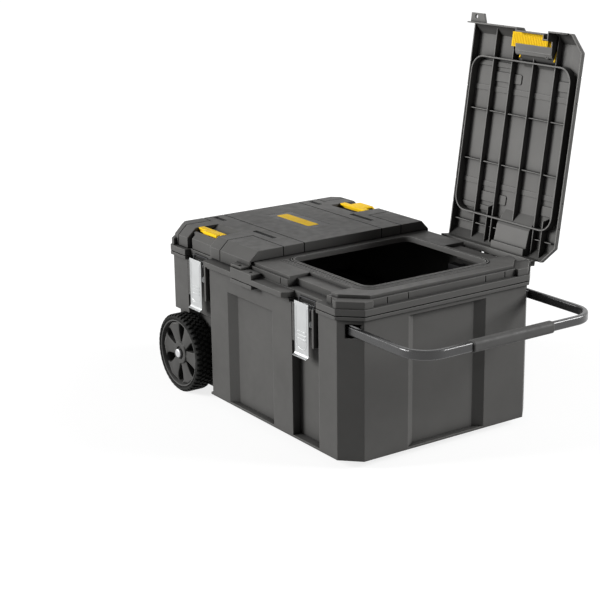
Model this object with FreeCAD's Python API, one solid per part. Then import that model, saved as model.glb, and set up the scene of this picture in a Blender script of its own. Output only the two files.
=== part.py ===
import FreeCAD, Part
import math
import os

# Wheeled jobsite storage box. All sizes are in millimetres.
# +X is the pull handle's end and -Y is the front with the latches.
# The floor is Z = 0 and X = 0 is the lid seam.

V = FreeCAD.Vector

# Plan of the rim that tub and deck share
rim_half_x = 357.0
rim_half_y = 254.0
rim_chamfer = 42.0
rim_step = 6.0
wall = 4.0
web = 3.0
wall_x = rim_half_x - rim_step
wall_y = rim_half_y - rim_step

# Fits
press_gap = 0.02
run_gap = 0.06
seat_gap = 0.1
slide_gap = 0.3
move_gap = 0.4

# Heights
tub_base_z = 17.0
tub_foot_h = 5.0
tub_top_z = 317.0
tub_rim_h = 7.0
parting_gap = 2.0
deck_base_z = tub_top_z + parting_gap
flange_top_z = 332.0
shelf_top_z = 330.0
upstand_top_z = 347.0
plateau_top_z = 354.0
lid_skirt_z = 333.0
lid_top_z = 376.0

# Front and end recesses of the tub
recess_depth = 14.0
recess_slope = 21.0
front_recess_half = 87.0
front_recess_top = 272.0
end_recess_half = 100.0
end_recess_top = 300.0

# Latch channels
latch_in = 152.0
latch_x = rim_half_x - latch_in
channel_half = 47.0
channel_deep = 20.0
channel_shallow = 12.0
channel_step_z = 260.0
channel_rib_in = 31.0
channel_rib_w = 6.0
channel_rib_proud = 5.0
channel_rib_z = (232.0, 312.0)

# Wheels and axle
wheel_in = 89.0
wheel_x = wheel_in - rim_half_x
wheel_r = 90.0
wheel_proud = 19.5
wheel_out_y = rim_half_y + wheel_proud
wheel_w = 48.0
arch_reach = 102.0
arch_in = 35.0
arch_edge_x = wheel_x + arch_reach
arch_y = rim_half_y - arch_in
arch_top_z = 185.0
axle_r = 6.0
axle_in = 2.5
axle_half = wheel_out_y - axle_in
tunnel_r = 13.0
rim_r = 70.0
rim_t = 5.0
boss_r = 26.0
bush_r = 9.0
bush_set = 6.0
bush_play = 3.0
bush_out_y = wheel_out_y - bush_set
bush_in_y = arch_y + bush_play
window_in_r = 33.0
window_out_r = 60.0
window_count = 6
window_angle = 36.0
tread_depth = 5.0
tread_count = 30
tread_share = 0.62
tread_groove = 4.0
tyre_shoulder = 7.0
cap_r = 10.0
cap_t = 6.0
washer_r = 14.0
washer_t = 2.0

# Runner skids
skid_behind = 26.0
skid_in_x = 72.0
skid_in_y = 86.0
skid_x0 = arch_edge_x + skid_behind
skid_x1 = rim_half_x - skid_in_x
skid_y = rim_half_y - skid_in_y
skid_w = 34.0
skid_ramp = 12.0
skid_toe_z = 6.0

# Pull handle
tube_w = 12.0
tube_h = 19.0
tube_t = 2.0
tube_corner = 4.0
handle_inset = 24.0
handle_reach = 189.0
handle_out_y = rim_half_y - handle_inset
handle_out_x = rim_half_x + handle_reach
handle_z = 286.5
handle_bend = 60.0
handle_stay = 136.0
handle_in_x = rim_half_x - handle_stay
grip_half = 102.0
grip_w = 21.0
grip_h = 24.0
grip_corner = 8.0
plug_len = 12.0
sleeve_len = 224.0
sleeve_in = 39.0
sleeve_x1 = rim_half_x - sleeve_in
sleeve_x0 = sleeve_x1 - sleeve_len
sleeve_t = 2.5
sleeve_feet_in = (16.0, 176.0)
sleeve_feet_x = [sleeve_x0 + d for d in sleeve_feet_in]
sleeve_foot_w = 30.0
slot_margin_y = 6.0
slot_margin_z = 5.0
slot_deep = 60.0

# Deck hinge: deck knuckle between two tub lugs
deck_axis_out = 8.0
deck_axis_y = rim_half_y + deck_axis_out
deck_axis_z = 314.0
deck_hinge_x = (100.0, 220.0)
deck_knuckle_w = 28.0
deck_lug_w = 11.0
barrel_r = 6.0
hinge_room_z = deck_axis_z - 9.0
pin_r = 3.0

# Lid hinges: lid arm between two deck lugs
lid_axis_out = 1.0
lid_axis_y = rim_half_y + lid_axis_out
lid_axis_z = 321.0
lid_hinge_x = (30.0, 164.0, 274.0)
lid_arm_w = 34.0
lid_lug_w = 9.0
lid_open_deg = 98.0
arm_z = (4.0, 12.0)

# Deck openings and seals
open_x0 = 22.0
open_in_x = 63.0
open_in_y = 96.0
open_x1 = rim_half_x - open_in_x
open_half_y = rim_half_y - open_in_y
open_corner = 22.0
collar_w = 4.0
collar_base_z = 344.0
seal_w = 9.4
seal_h = 2.0
bead_w = 4.0
bead_h = 2.0
rim_seal_in = 9.5
rim_seal_out = 2.5
shelf_out = 14.0
shelf_root = 10.0
shelf_y = -rim_half_y - shelf_out
shelf_half = 150.0
shelf_return = 168.0
block_half = 40.0
block_top_z = 341.0
tub_block_z = 309.0
padlock_x = 21.0
padlock_out = 1.0
padlock_y = -rim_half_y - padlock_out
padlock_r = 4.6
latch_notch_in = 15.0
latch_notch_y = latch_notch_in - rim_half_y
slit_w = 2.5
slit_d = 2.0
slit_x = (105.0, 282.0)
slit_y = (100.0, 152.0)
upstand_in = (10.5, 15.5, 22.5)
upstand_x = rim_half_x - upstand_in[0]
upstand_y0 = upstand_in[1] - rim_half_y
upstand_y1 = rim_half_y - upstand_in[2]
upstand_cut = (45.0, 47.0)
plateau_in = 5.5
plateau_cut = 45.0
hollow_in = (10.5, 12.5)
hollow_cut = 46.0
post_in = 3.0
post_cut = 40.2
post_side = (61.0, 68.0)
post_web = (8.0, 9.0)
post_gap = 3.0
plateau_notch_x = (132.0, 276.0)
upstand_notch_x = (132.0, 268.0)
plateau_notch_in = (70.0, 82.0)
upstand_notch_in = (38.0, 39.0)
plateau_notch_y = (plateau_notch_in[0] - rim_half_y, rim_half_y - plateau_notch_in[1])
upstand_notch_y = (upstand_notch_in[0] - rim_half_y, rim_half_y - upstand_notch_in[1])

# Small lid, right-hand one in its closed place
lid_x0 = 3.0
lid_in = (8.0, 11.0, 18.0)
lid_x1 = rim_half_x - lid_in[0]
lid_y0 = lid_in[1] - rim_half_y
lid_y1 = rim_half_y - lid_in[2]
lid_corner = 36.0
lid_wall = 3.0
lid_slope_z = 356.0
lid_slope_run = (22.0, 19.0, 20.0)
lid_front_edge = lid_y0 + lid_slope_run[0]
lid_rear_edge = lid_y1 - lid_slope_run[1]
lid_end_edge = lid_x1 - lid_slope_run[2]
lid_corner_run = 20.0
corner_skirt_run = 47.4
corner_skirt_x = lid_x1 - corner_skirt_run
corner_skirt_in = 12.0
seam_wall_z = 355.0
corner_skirt_z = 348.0
groove_d = 2.0
groove_w = 3.2
groove_low_z = 350.0
backing_w = 11.0
backing_t = 1.2
cross_groove_in = 150.0
corner_groove_in = 96.0
slot_in = 122.0
cross_groove_y = rim_half_y - cross_groove_in
corner_groove_y = rim_half_y - corner_groove_in
corner_groove_side = 52.0
corner_groove_x = (121.0, lid_x1 - corner_groove_side)
slot_y = rim_half_y - slot_in
slot_w = 12.0
lid_slot_in = (73.0, 31.0)
lid_slots_x = ((74.0, 154.0), (lid_x1 - lid_slot_in[0], lid_x1 - lid_slot_in[1]))
label_x = (102.0, 262.0)
label_y = (-29.0, 36.0)
label_recess = 1.2
label_t = 1.0
ring_x0 = 9.0
ring_in = (29.0, 81.0)
ring_x1 = lid_x1 - ring_in[0]
ring_half_y = rim_half_y - ring_in[1]
ring_corner = 34.0
rib_x = (74.0, 133.0, 199.0, 266.0)
rib_base_z = 359.5
rib_w = 2.4
cross_rib_half = 56.0
rear_rib_in = 59.0
cross_rib_y = (-cross_rib_half, cross_rib_half, rim_half_y - rear_rib_in)
cross_rib_w = 1.8
cross_rib_z = 364.0
tab_z0 = 341.5
tab_h = 5.0
tab_x1 = 45.0
tab_root_x = 54.0
tab_in = 5.0
tab_y = shelf_y + tab_in
sill_z = (332.7, 344.0)
sill_in = (8.0, 4.0, 49.0)
sill_y = (rim_half_y - sill_in[0], rim_half_y - sill_in[1])
sill_x1 = lid_x1 - sill_in[2]
sill_deep_x = ((57.5, 136.5), (191.5, 246.5))

# Stacking clips in the lids
clip_x0 = 162.0
clip_x1 = 258.0
clip_t = 4.0
clip_bar_w = 14.0
clip_barrel_r = 3.5
clip_pin_r = 1.5
clip_pin_z = 368.5
clip_pin_in = 9.0
clip_proud = 0.4
clip_end_gap = 0.6
pocket_wall = 2.5
pocket_floor_z = 352.0
pocket_lip_z = 356.0
front_bar_in = 44.0
front_lip_in = 51.0
front_edge_in = 83.0
front_back_in = 47.0
front_mouth_in = 20.7
front_bar_y = lid_y0 + front_bar_in
front_lip_y = lid_y0 + front_lip_in
front_edge_y = lid_y0 + front_edge_in
front_back_y = lid_y0 + front_back_in
front_mouth_y = lid_y0 + front_mouth_in
clip_recess = 6.0
front_slot_x = 244.8
front_slot_in = 17.0
front_slot_y = lid_y0 + front_slot_in
front_slot_wall = 2.0
front_tongue_x = (169.0, 226.0)
front_tongue_in = 21.5
front_tongue_y = lid_y0 + front_tongue_in
front_tongue_z = 370.0
hook_x = (134.6, 244.0)
hook_in = (9.7, 18.0, 41.0)
hook_y = [lid_y0 + d for d in hook_in]
hook_z = (350.0, 353.5, 361.0, 362.0)
hook_gap = 2.0
rear_bar_in = 60.0
rear_lip_in = 56.0
rear_edge_in = 89.0
rear_back_in = 16.0
rear_bar_y = lid_y1 - rear_bar_in
rear_lip_y = lid_y1 - rear_lip_in
rear_edge_y = lid_y1 - rear_edge_in
rear_back_y = lid_y1 - rear_back_in
rear_low_z = 345.2
rear_tongue_half = 24.0
rear_tip_in = 6.0
rear_tip_y = lid_y1 - rear_tip_in

# Latch lever and bail
lever_half = 24.0
lever_proud = 2.5
lever_out_y = -rim_half_y - lever_proud
lever_t = 1.5
lever_z0 = 212.0
lever_z1 = 319.5
lever_pin_in = 4.0
lever_pin_y = lever_pin_in - rim_half_y
lever_pin_z = 309.0
lever_pin_r = 2.5
bail_pin_in = 8.0
bail_pin_y = bail_pin_in - rim_half_y
bail_pin_z = 293.0
bail_top_in = 12.8
bail_top_y = bail_top_in - rim_half_y
bail_top_z = 324.5
bail_r = 1.5
bail_half = 27.3
base_lug_x = (10.0, 17.0)
base_t = 2.0
base_half = 20.0
base_low = 44.0
lever_rib_z = (28.0, 36.0, 44.0)

far = 600.0


def prism(points, z0, z1):
    wire = Part.makePolygon([V(x, y, z0) for x, y in points + points[:1]])
    return Part.Face(wire).extrude(V(0, 0, z1 - z0))


def prism_x(points, x0, x1):
    wire = Part.makePolygon([V(x0, y, z) for y, z in points + points[:1]])
    return Part.Face(wire).extrude(V(x1 - x0, 0, 0))


def prism_y(points, y0, y1):
    wire = Part.makePolygon([V(x, y0, z) for x, z in points + points[:1]])
    return Part.Face(wire).extrude(V(0, y1 - y0, 0))


def box(x0, x1, y0, y1, z0, z1):
    low = V(min(x0, x1), min(y0, y1), min(z0, z1))
    return Part.makeBox(abs(x1 - x0), abs(y1 - y0), abs(z1 - z0), low)


def rod_x(y, z, r, x0, x1):
    return Part.makeCylinder(r, abs(x1 - x0), V(min(x0, x1), y, z), V(1, 0, 0))


def rod_y(x, z, r, y0, y1):
    return Part.makeCylinder(r, abs(y1 - y0), V(x, min(y0, y1), z), V(0, 1, 0))


def rod_z(x, y, r, z0, z1):
    return Part.makeCylinder(r, z1 - z0, V(x, y, z0), V(0, 0, 1))


def rounded_face(a0, a1, b0, b1, r, place):
    """Face of a rounded rectangle; place(a, b) gives the point in space."""
    k = r * (1 - math.sqrt(0.5))
    corners = [((a1 - r, b0), (a1 - k, b0 + k), (a1, b0 + r)),
               ((a1, b1 - r), (a1 - k, b1 - k), (a1 - r, b1)),
               ((a0 + r, b1), (a0 + k, b1 - k), (a0, b1 - r)),
               ((a0, b0 + r), (a0 + k, b0 + k), (a0 + r, b0))]
    edges = []
    for i, corner in enumerate(corners):
        last = corners[i - 1][2]
        edges.append(Part.makeLine(place(*last), place(*corner[0])))
        edges.append(Part.Arc(*[place(*p) for p in corner]).toShape())
    return Part.Face(Part.Wire(edges))


def rounded_prism(x0, x1, y0, y1, r, z0, z1):
    face = rounded_face(x0, x1, y0, y1, r, lambda a, b: V(a, b, z0))
    return face.extrude(V(0, 0, z1 - z0))


def fuse(first, *rest):
    return first.fuse(list(rest)).removeSplitter() if rest else first


def mirror_x(shape):
    return shape.mirror(V(0, 0, 0), V(1, 0, 0))


def mirror_y(shape):
    return shape.mirror(V(0, 0, 0), V(0, 1, 0))


def both_x(*shapes):
    return list(shapes) + [mirror_x(s) for s in shapes]


def both_y(*shapes):
    return list(shapes) + [mirror_y(s) for s in shapes]


def outline(half_x, y0, y1, cut0, cut1):
    """Chamfered rectangle centred on X, with its own chamfer at each Y side."""
    return [(-half_x + cut0, y0), (half_x - cut0, y0), (half_x, y0 + cut0), (half_x, y1 - cut1),
            (half_x - cut1, y1), (-half_x + cut1, y1), (-half_x, y1 - cut1), (-half_x, y0 + cut0)]


def rim_outline(inset):
    cut = rim_chamfer - inset * (2 - math.sqrt(2))
    half_y = rim_half_y - inset
    return outline(rim_half_x - inset, -half_y, half_y, cut, cut)


def shrunk(points, t, place, direction):
    """Extrusion of a plane outline moved inward by t."""
    face = Part.Face(Part.makePolygon([place(*p) for p in points + points[:1]]))
    if t:
        face = face.makeOffset2D(-t, 2)
    return face.extrude(direction)


def channel_boxes(grow):
    """The two-step latch channel, with walls of the given thickness around it."""
    x0 = latch_x - channel_half - grow
    x1 = latch_x + channel_half + grow
    floor = tub_base_z + tub_foot_h
    deep_y = -wall_y + channel_deep + grow
    shallow_y = -wall_y + channel_shallow + grow
    low = floor if not grow else 0
    return [box(x0, x1, -far, deep_y, low, channel_step_z + grow),
            box(x0, x1, -far, shallow_y, channel_step_z - grow, tub_top_z + far)]


def recess_prism(half, reach, top, grow):
    """Plan points of a sloped recess, as (along, depth) pairs, and its two heights."""
    top = top + grow
    low = tub_base_z + tub_foot_h if not grow else 0
    inner = half - recess_slope + grow
    outer = half + grow
    return [(-outer, reach), (-inner, reach - recess_depth - grow), (inner, reach - recess_depth - grow),
            (outer, reach)], low, top


def front_recess(grow):
    points, low, top = recess_prism(front_recess_half, wall_y, front_recess_top, grow)
    points = [(a, -b) for a, b in points]
    return fuse(prism(points, low, top), box(-front_recess_half, front_recess_half, -far, -wall_y, low, top))


def end_recess(grow):
    points, low, top = recess_prism(end_recess_half, wall_x, end_recess_top, grow)
    points = [(b, a) for a, b in points]
    return fuse(prism(points, low, top), box(wall_x, far, -end_recess_half, end_recess_half, low, top))


def arch_box(grow):
    return box(-far, arch_edge_x + grow, -far, -arch_y + grow, -far, arch_top_z + grow)


def deck_lug(x0, x1):
    profile = [(wall_y - 1, deck_axis_z - 26), (deck_axis_y + 5, deck_axis_z - 3), (deck_axis_y, deck_axis_z),
               (deck_axis_y - 5, tub_top_z), (wall_y - 1, tub_top_z)]
    return fuse(prism_x(profile, x0, x1), rod_x(deck_axis_y, deck_axis_z, barrel_r, x0, x1))


def make_tub_shell():
    body = prism(rim_outline(rim_step), tub_base_z, tub_top_z)
    rim = prism(rim_outline(0), tub_top_z - tub_rim_h, tub_top_z)
    block = box(-block_half, block_half, shelf_y, -wall_y + 1, tub_block_z, tub_top_z)
    body = fuse(body, rim, block)
    cavity = prism(rim_outline(rim_step + wall), tub_base_z + wall, tub_top_z + 1)
    keep = both_x(*channel_boxes(web)) + both_y(arch_box(wall)) + [front_recess(wall), end_recess(wall)]
    cavity = cavity.cut(keep)
    cuts = both_x(*channel_boxes(0)) + both_y(arch_box(0)) + [front_recess(0), end_recess(0), cavity]
    for x in lid_hinge_x:
        half = lid_arm_w / 2 + lid_lug_w + 2
        cuts += both_x(box(x - half, x + half, wall_y + 0.5, far, hinge_room_z, far))
    for x in deck_hinge_x:
        half = deck_knuckle_w / 2 + move_gap
        cuts += both_x(box(x - half, x + half, wall_y + 2.5, far, hinge_room_z, far))
    slot_y0 = handle_out_y - tube_w - slot_margin_y
    slot_y1 = handle_out_y + slot_margin_y
    slot_h = tube_h / 2 + slot_margin_z
    cuts += both_y(box(rim_half_x - slot_deep, far, slot_y0, slot_y1, handle_z - slot_h, handle_z + slot_h))
    cuts += both_x(rod_z(padlock_x, padlock_y, padlock_r, 0, far))
    body = body.cut(cuts)
    adds = [rod_y(wheel_x, wheel_r, tunnel_r, -arch_y, arch_y)]
    for x in deck_hinge_x:
        inner = deck_knuckle_w / 2 + move_gap
        for side in (-1, 1):
            near = x + side * inner
            adds += both_x(deck_lug(min(near, near + side * deck_lug_w), max(near, near + side * deck_lug_w)))
    for side in (-1, 1):
        near = latch_x + side * channel_rib_in
        adds += both_x(box(near, near + side * channel_rib_w, -wall_y - channel_rib_proud,
                           -wall_y + channel_shallow + 1, *channel_rib_z))
    body = fuse(body, *adds)
    bores = [rod_y(wheel_x, wheel_r, axle_r + press_gap, -far, far)]
    bores.append(rod_x(deck_axis_y, deck_axis_z, pin_r + press_gap, -far, far))
    return body.cut(bores)


def make_skid():
    half = skid_w / 2
    ramp = [(skid_x0, skid_toe_z), (skid_x0 + skid_ramp, 0), (skid_x1 - skid_ramp, 0), (skid_x1, skid_toe_z),
            (skid_x1, tub_base_z), (skid_x0, tub_base_z)]
    return prism_y(ramp, -skid_y - half, -skid_y + half)


def make_cross_runner():
    half = skid_w / 2
    reach = skid_y - half
    return box(-half, half, -reach, reach, 0, tub_base_z)


def make_sleeve():
    y1 = -handle_out_y + tube_w + slide_gap
    y0 = -handle_out_y - slide_gap
    half = tube_h / 2 + slide_gap
    shell = box(sleeve_x0, sleeve_x1, y0 - sleeve_t, y1 + sleeve_t, handle_z - half - sleeve_t,
                handle_z + half + sleeve_t)
    feet = [box(x, x + sleeve_foot_w, -wall_y + wall, y0 - sleeve_t + 1, handle_z - half, handle_z + half)
            for x in sleeve_feet_x]
    bore = box(sleeve_x0 - 1, sleeve_x1 + 1, y0, y1, handle_z - half, handle_z + half)
    return fuse(shell, *feet).cut(bore)


def make_handle_tube():
    half_h = tube_h / 2
    end_y = handle_out_y - handle_bend
    end_x = handle_out_x - handle_bend

    def section(t):
        low = -handle_out_y + t
        high = -handle_out_y + tube_w - t
        return rounded_face(low, high, handle_z - half_h + t, handle_z + half_h - t, tube_corner - t,
                            lambda a, b: V(handle_in_x, a, b))

    ring = section(0).cut(section(tube_t))
    leg = ring.extrude(V(end_x - handle_in_x, 0, 0))
    at_bend = ring.translated(V(end_x - handle_in_x, 0, 0))
    bend = at_bend.revolve(V(end_x, -end_y, 0), V(0, 0, 1), 90)
    turned = at_bend.rotated(V(end_x, -end_y, 0), V(0, 0, 1), 90)
    bar = turned.extrude(V(0, 2 * end_y, 0))
    return fuse(bar, leg, mirror_y(leg), bend, mirror_y(bend))


def make_handle_grip():
    mid = handle_out_x - tube_w / 2

    def section(w, h, r):
        return rounded_face(mid - w / 2, mid + w / 2, handle_z - h / 2, handle_z + h / 2, r,
                            lambda a, b: V(a, -grip_half, b))

    outer = section(grip_w, grip_h, grip_corner).extrude(V(0, 2 * grip_half, 0))
    ends = [e for e in outer.Edges if abs(abs(e.CenterOfMass.y) - grip_half) < 0.01]
    outer = outer.makeFillet(2.5, ends)
    hole = section(tube_w + 2 * press_gap, tube_h + 2 * press_gap, tube_corner)
    return outer.cut(hole.extrude(V(0, 2 * grip_half, 0)))


def make_handle_plugs():
    half = tube_h / 2
    plug = box(handle_in_x - plug_len, handle_in_x, -handle_out_y, -handle_out_y + tube_w, handle_z - half,
               handle_z + half)
    return Part.makeCompound(both_y(plug))


def wheel_ring(r_out, r_in, y0, y1):
    return rod_y(wheel_x, wheel_r, r_out, y0, y1).cut(rod_y(wheel_x, wheel_r, r_in, y0 - 1, y1 + 1))


def make_hub():
    out_y = -wheel_out_y
    in_y = out_y + wheel_w
    rim = wheel_ring(rim_r, rim_r - rim_t, out_y + 2, in_y - 2)
    lip = wheel_ring(rim_r - rim_t + 1, rim_r - rim_t - 4, out_y + 4, out_y + 12)
    disc = wheel_ring(rim_r - 1, bush_r, out_y + 10, out_y + 19)
    boss = rod_y(wheel_x, wheel_r, boss_r, -bush_out_y, -bush_in_y)
    hub = fuse(disc, rim, lip, boss)
    cuts = [rod_y(wheel_x, wheel_r, bush_r + press_gap, -far, 0)]
    half = math.radians(window_angle / 2)
    for i in range(window_count):
        mid = math.radians(90 + i * 360 / window_count)
        arcs = []
        for r in (window_in_r, window_out_r):
            arcs.append([V(wheel_x + r * math.cos(mid + d), out_y, wheel_r + r * math.sin(mid + d))
                         for d in (-half, 0, half)])
        edges = [Part.Arc(*arc).toShape() for arc in arcs]
        edges += [Part.makeLine(arcs[0][2], arcs[1][2]), Part.makeLine(arcs[1][0], arcs[0][0])]
        window = Part.Face(Part.Wire(Part.__sortEdges__(edges)))
        cuts.append(window.extrude(V(0, wheel_w, 0)))
    return hub.cut(cuts)


def tread_half(y0, y1, shift):
    """One half of the tyre's width with its blocks."""
    pitch = 2 * math.pi / tread_count
    low_r = wheel_r - tread_depth
    edges = []

    def at(r, angle):
        return V(wheel_x + r * math.cos(angle), y0, wheel_r + r * math.sin(angle))

    for i in range(tread_count):
        start = (i + shift) * pitch
        top = start + pitch * tread_share
        stop = start + pitch
        crown = [at(wheel_r, angle) for angle in (start, (start + top) / 2, top)]
        valley = [at(low_r, angle) for angle in (top + 0.02, (top + stop) / 2, stop - 0.02)]
        edges.append(Part.Arc(*crown).toShape())
        edges.append(Part.makeLine(crown[2], valley[0]))
        edges.append(Part.Arc(*valley).toShape())
        edges.append(Part.makeLine(valley[2], at(wheel_r, stop)))
    return Part.Face(Part.Wire(edges)).extrude(V(0, y1 - y0, 0))


def make_tyre():
    out_y = -wheel_out_y
    in_y = out_y + wheel_w
    mid_y = (out_y + in_y) / 2
    groove = tread_groove / 2
    core = rod_y(wheel_x, wheel_r, wheel_r - tread_depth, out_y, in_y)
    tyre = fuse(core, tread_half(out_y, mid_y - groove, 0), tread_half(mid_y + groove, in_y, 0.5))
    narrow = wheel_r - tyre_shoulder
    wide = wheel_r + tyre_shoulder
    run = 2 * tyre_shoulder
    hull = fuse(Part.makeCone(narrow, wide, run, V(wheel_x, out_y, wheel_r), V(0, 1, 0)),
                Part.makeCone(narrow, wide, run, V(wheel_x, in_y, wheel_r), V(0, -1, 0)),
                rod_y(wheel_x, wheel_r, wide, out_y + run, in_y - run))
    return tyre.common(hull).cut(rod_y(wheel_x, wheel_r, rim_r + seat_gap, out_y - 1, in_y + 1))


def make_bush():
    return wheel_ring(bush_r, axle_r + run_gap, -bush_out_y, -bush_in_y)


def make_cap():
    face_y = -bush_out_y - 0.5
    cap = rod_y(wheel_x, wheel_r, cap_r, face_y - cap_t, face_y)
    rim = [e for e in cap.Edges if abs(e.CenterOfMass.y - (face_y - cap_t)) < 0.01]
    cap = cap.makeFillet(2.5, rim)
    return cap.cut(rod_y(wheel_x, wheel_r, axle_r + press_gap, -axle_half - press_gap, face_y + 1))


def make_washers():
    washer = wheel_ring(washer_r, axle_r + press_gap, -arch_y - washer_t, -arch_y)
    return Part.makeCompound(both_y(washer))


def make_deck_hinge_pins():
    half = deck_knuckle_w / 2 + move_gap + deck_lug_w
    pins = [rod_x(deck_axis_y, deck_axis_z, pin_r, x - half, x + half) for x in deck_hinge_x]
    return Part.makeCompound(both_x(*pins))


def deck_knuckle(x):
    half = deck_knuckle_w / 2
    root = deck_axis_y - 12
    profile = [(root, deck_base_z + 0.5), (root, flange_top_z), (root + 6, flange_top_z),
               (deck_axis_y + 5.5, deck_axis_z + 2), (deck_axis_y, deck_axis_z),
               (deck_axis_y - 5.8, deck_axis_z + 1.5)]
    barrel = rod_x(deck_axis_y, deck_axis_z, barrel_r, x - half, x + half)
    return fuse(prism_x(profile, x - half, x + half), barrel)


def opening_prism(grow, z0, z1):
    half_y = open_half_y + grow
    return rounded_prism(open_x0 - grow, open_x1 + grow, -half_y, half_y, open_corner + grow, z0, z1)


def deck_pocket(notch_y, z0, z1):
    """Underside hollow that keeps a wall around the clip notches."""
    x0 = plateau_notch_x[0] - wall
    x1 = plateau_notch_x[1] + wall
    dx, dy = hollow_in
    hollow = prism(outline(upstand_x - dx, upstand_y0 + dy, upstand_y1 - dy, hollow_cut, hollow_cut), z0, z1)
    return hollow.cut(both_x(box(x0, x1, -far, notch_y[0] + wall, z0 - 1, z1 + 1),
                             box(x0, x1, notch_y[1] - wall, far, z0 - 1, z1 + 1)))


def notched(shape, notch_x, notch_y, low):
    """A deck step without the places where the clips reach down."""
    return shape.cut(both_x(box(notch_x[0], notch_x[1], -far, notch_y[0], low, far),
                            box(notch_x[0], notch_x[1], notch_y[1], far, low, far)))


def corner_post(side, run, web_x):
    """Raised corner of the deck between the lid's skirts; side is the sign of its Y."""
    x = rim_half_x - post_in
    y = rim_half_y - post_in
    x0 = corner_skirt_x + post_gap
    inner = x - web_x + y - run
    points = [(x - post_cut, y), (x, y - post_cut), (x, y - run), (x - web_x, y - run), (x0, inner - x0),
              (x0, y)]
    return prism([(a, side * b) for a, b in points], deck_base_z, upstand_top_z)


def make_deck_frame():
    flange = prism(rim_outline(0), deck_base_z, flange_top_z)
    root = shelf_root - rim_half_y
    flange = flange.cut([box(-shelf_return, shelf_return, -far, root + 3, shelf_top_z, far)])
    ledge = [(-shelf_half, shelf_y), (shelf_half, shelf_y), (shelf_return, root), (-shelf_return, root)]
    shelf = prism(ledge, deck_base_z, shelf_top_z)
    block = box(-block_half, block_half, shelf_y, lid_y0 - 1, deck_base_z, block_top_z)
    upstand = prism(outline(upstand_x, upstand_y0, upstand_y1, *upstand_cut), deck_base_z, upstand_top_z)
    upstand = notched(upstand, upstand_notch_x, upstand_notch_y, flange_top_z)
    step = plateau_in
    plateau = prism(outline(upstand_x - step, upstand_y0 + step, upstand_y1 - step, plateau_cut, plateau_cut),
                    upstand_top_z - 1, plateau_top_z)
    plateau = notched(plateau, plateau_notch_x, plateau_notch_y, 0)
    posts = both_x(corner_post(-1, post_side[0], post_web[0]), corner_post(1, post_side[1], post_web[1]))
    body = fuse(flange, shelf, block, upstand, plateau, *posts)
    low = deck_pocket(upstand_notch_y, deck_base_z - 1, upstand_top_z - wall)
    high = deck_pocket(plateau_notch_y, upstand_top_z - wall - 1, plateau_top_z - wall)
    body = body.cut([low, high])
    collars = both_x(opening_prism(collar_w, collar_base_z, plateau_top_z))
    body = fuse(body, *collars)
    cuts = both_x(opening_prism(0, 0, far))
    x0 = latch_x - channel_half
    x1 = latch_x + channel_half
    cuts += both_x(box(x0, x1, -far, latch_notch_y, 0, flange_top_z + 0.01))
    cuts += both_x(rod_z(padlock_x, padlock_y, padlock_r, 0, far))
    z0 = flange_top_z + 1
    z1 = upstand_top_z - 1
    for x in slit_x:
        cuts += both_x(box(x, x + slit_w, upstand_y0, upstand_y0 + slit_d, z0, z1))
    for y in [s * a for a in slit_y for s in (-1, 1)]:
        cuts += both_x(box(upstand_x - slit_d, upstand_x, y, y + slit_w, z0, z1))
    for x in lid_hinge_x:
        half = lid_arm_w / 2 + move_gap
        cuts += both_x(box(x - half, x + half, lid_axis_y - 7.5, far, 0, far))
    body = body.cut(cuts)
    adds = []
    for x in deck_hinge_x:
        adds += both_x(deck_knuckle(x))
    for x in lid_hinge_x:
        inner = lid_arm_w / 2 + move_gap
        for side in (-1, 1):
            near = x + side * inner
            end = near + side * lid_lug_w
            adds += both_x(rod_x(lid_axis_y, lid_axis_z, barrel_r, near, end))
            adds += both_x(box(near, end, lid_axis_y - 9, lid_axis_y + 4, lid_axis_z, flange_top_z))
    body = fuse(body, *adds)
    bores = []
    for x in deck_hinge_x:
        half = deck_knuckle_w / 2 + move_gap + deck_lug_w
        bores += both_x(rod_x(deck_axis_y, deck_axis_z, pin_r + run_gap, x - half, x + half))
    for x in lid_hinge_x:
        half = lid_arm_w / 2 + move_gap + lid_lug_w
        bores += both_x(rod_x(lid_axis_y, lid_axis_z, pin_r + press_gap, x - half, x + half))
    return body.cut(bores)


def make_rim_seal():
    z0 = tub_top_z + move_gap
    outer = prism(rim_outline(rim_seal_out), z0, deck_base_z)
    inner = prism(rim_outline(rim_seal_in), z0, deck_base_z)
    x0 = latch_x - channel_half - web
    x1 = latch_x + channel_half + web
    y = -wall_y + channel_shallow + web
    outer = outer.cut(both_x(box(x0 + web, x1 - web, -far, latch_notch_y, 0, far)))
    inner = inner.cut(both_x(box(x0, x1, -far, y, 0, far)))
    outer = outer.cut(box(-block_half, block_half, -far, padlock_y + padlock_r + 1, 0, far))
    ring = outer.cut(inner)
    for x in lid_hinge_x:
        half = lid_arm_w / 2 + lid_lug_w + 2
        ring = ring.cut(both_x(box(x - half, x + half, wall_y + 0.5, far, 0, far)))
    for x in deck_hinge_x:
        half = deck_knuckle_w / 2 + deck_lug_w + 2
        ring = ring.cut(both_x(box(x - half, x + half, wall_y + 0.5, far, 0, far)))
    return ring


def make_opening_seal():
    z0 = plateau_top_z
    base = opening_prism(seal_w, z0, z0 + seal_h).cut(opening_prism(0, z0 - 1, far))
    bead = opening_prism(bead_w, z0, z0 + seal_h + bead_h).cut(opening_prism(0, z0 - 1, far))
    return fuse(base, bead)


def make_lid_hinge_pins():
    half = lid_arm_w / 2 + move_gap + lid_lug_w
    return Part.makeCompound([rod_x(lid_axis_y, lid_axis_z, pin_r, x - half, x + half) for x in lid_hinge_x])


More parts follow.
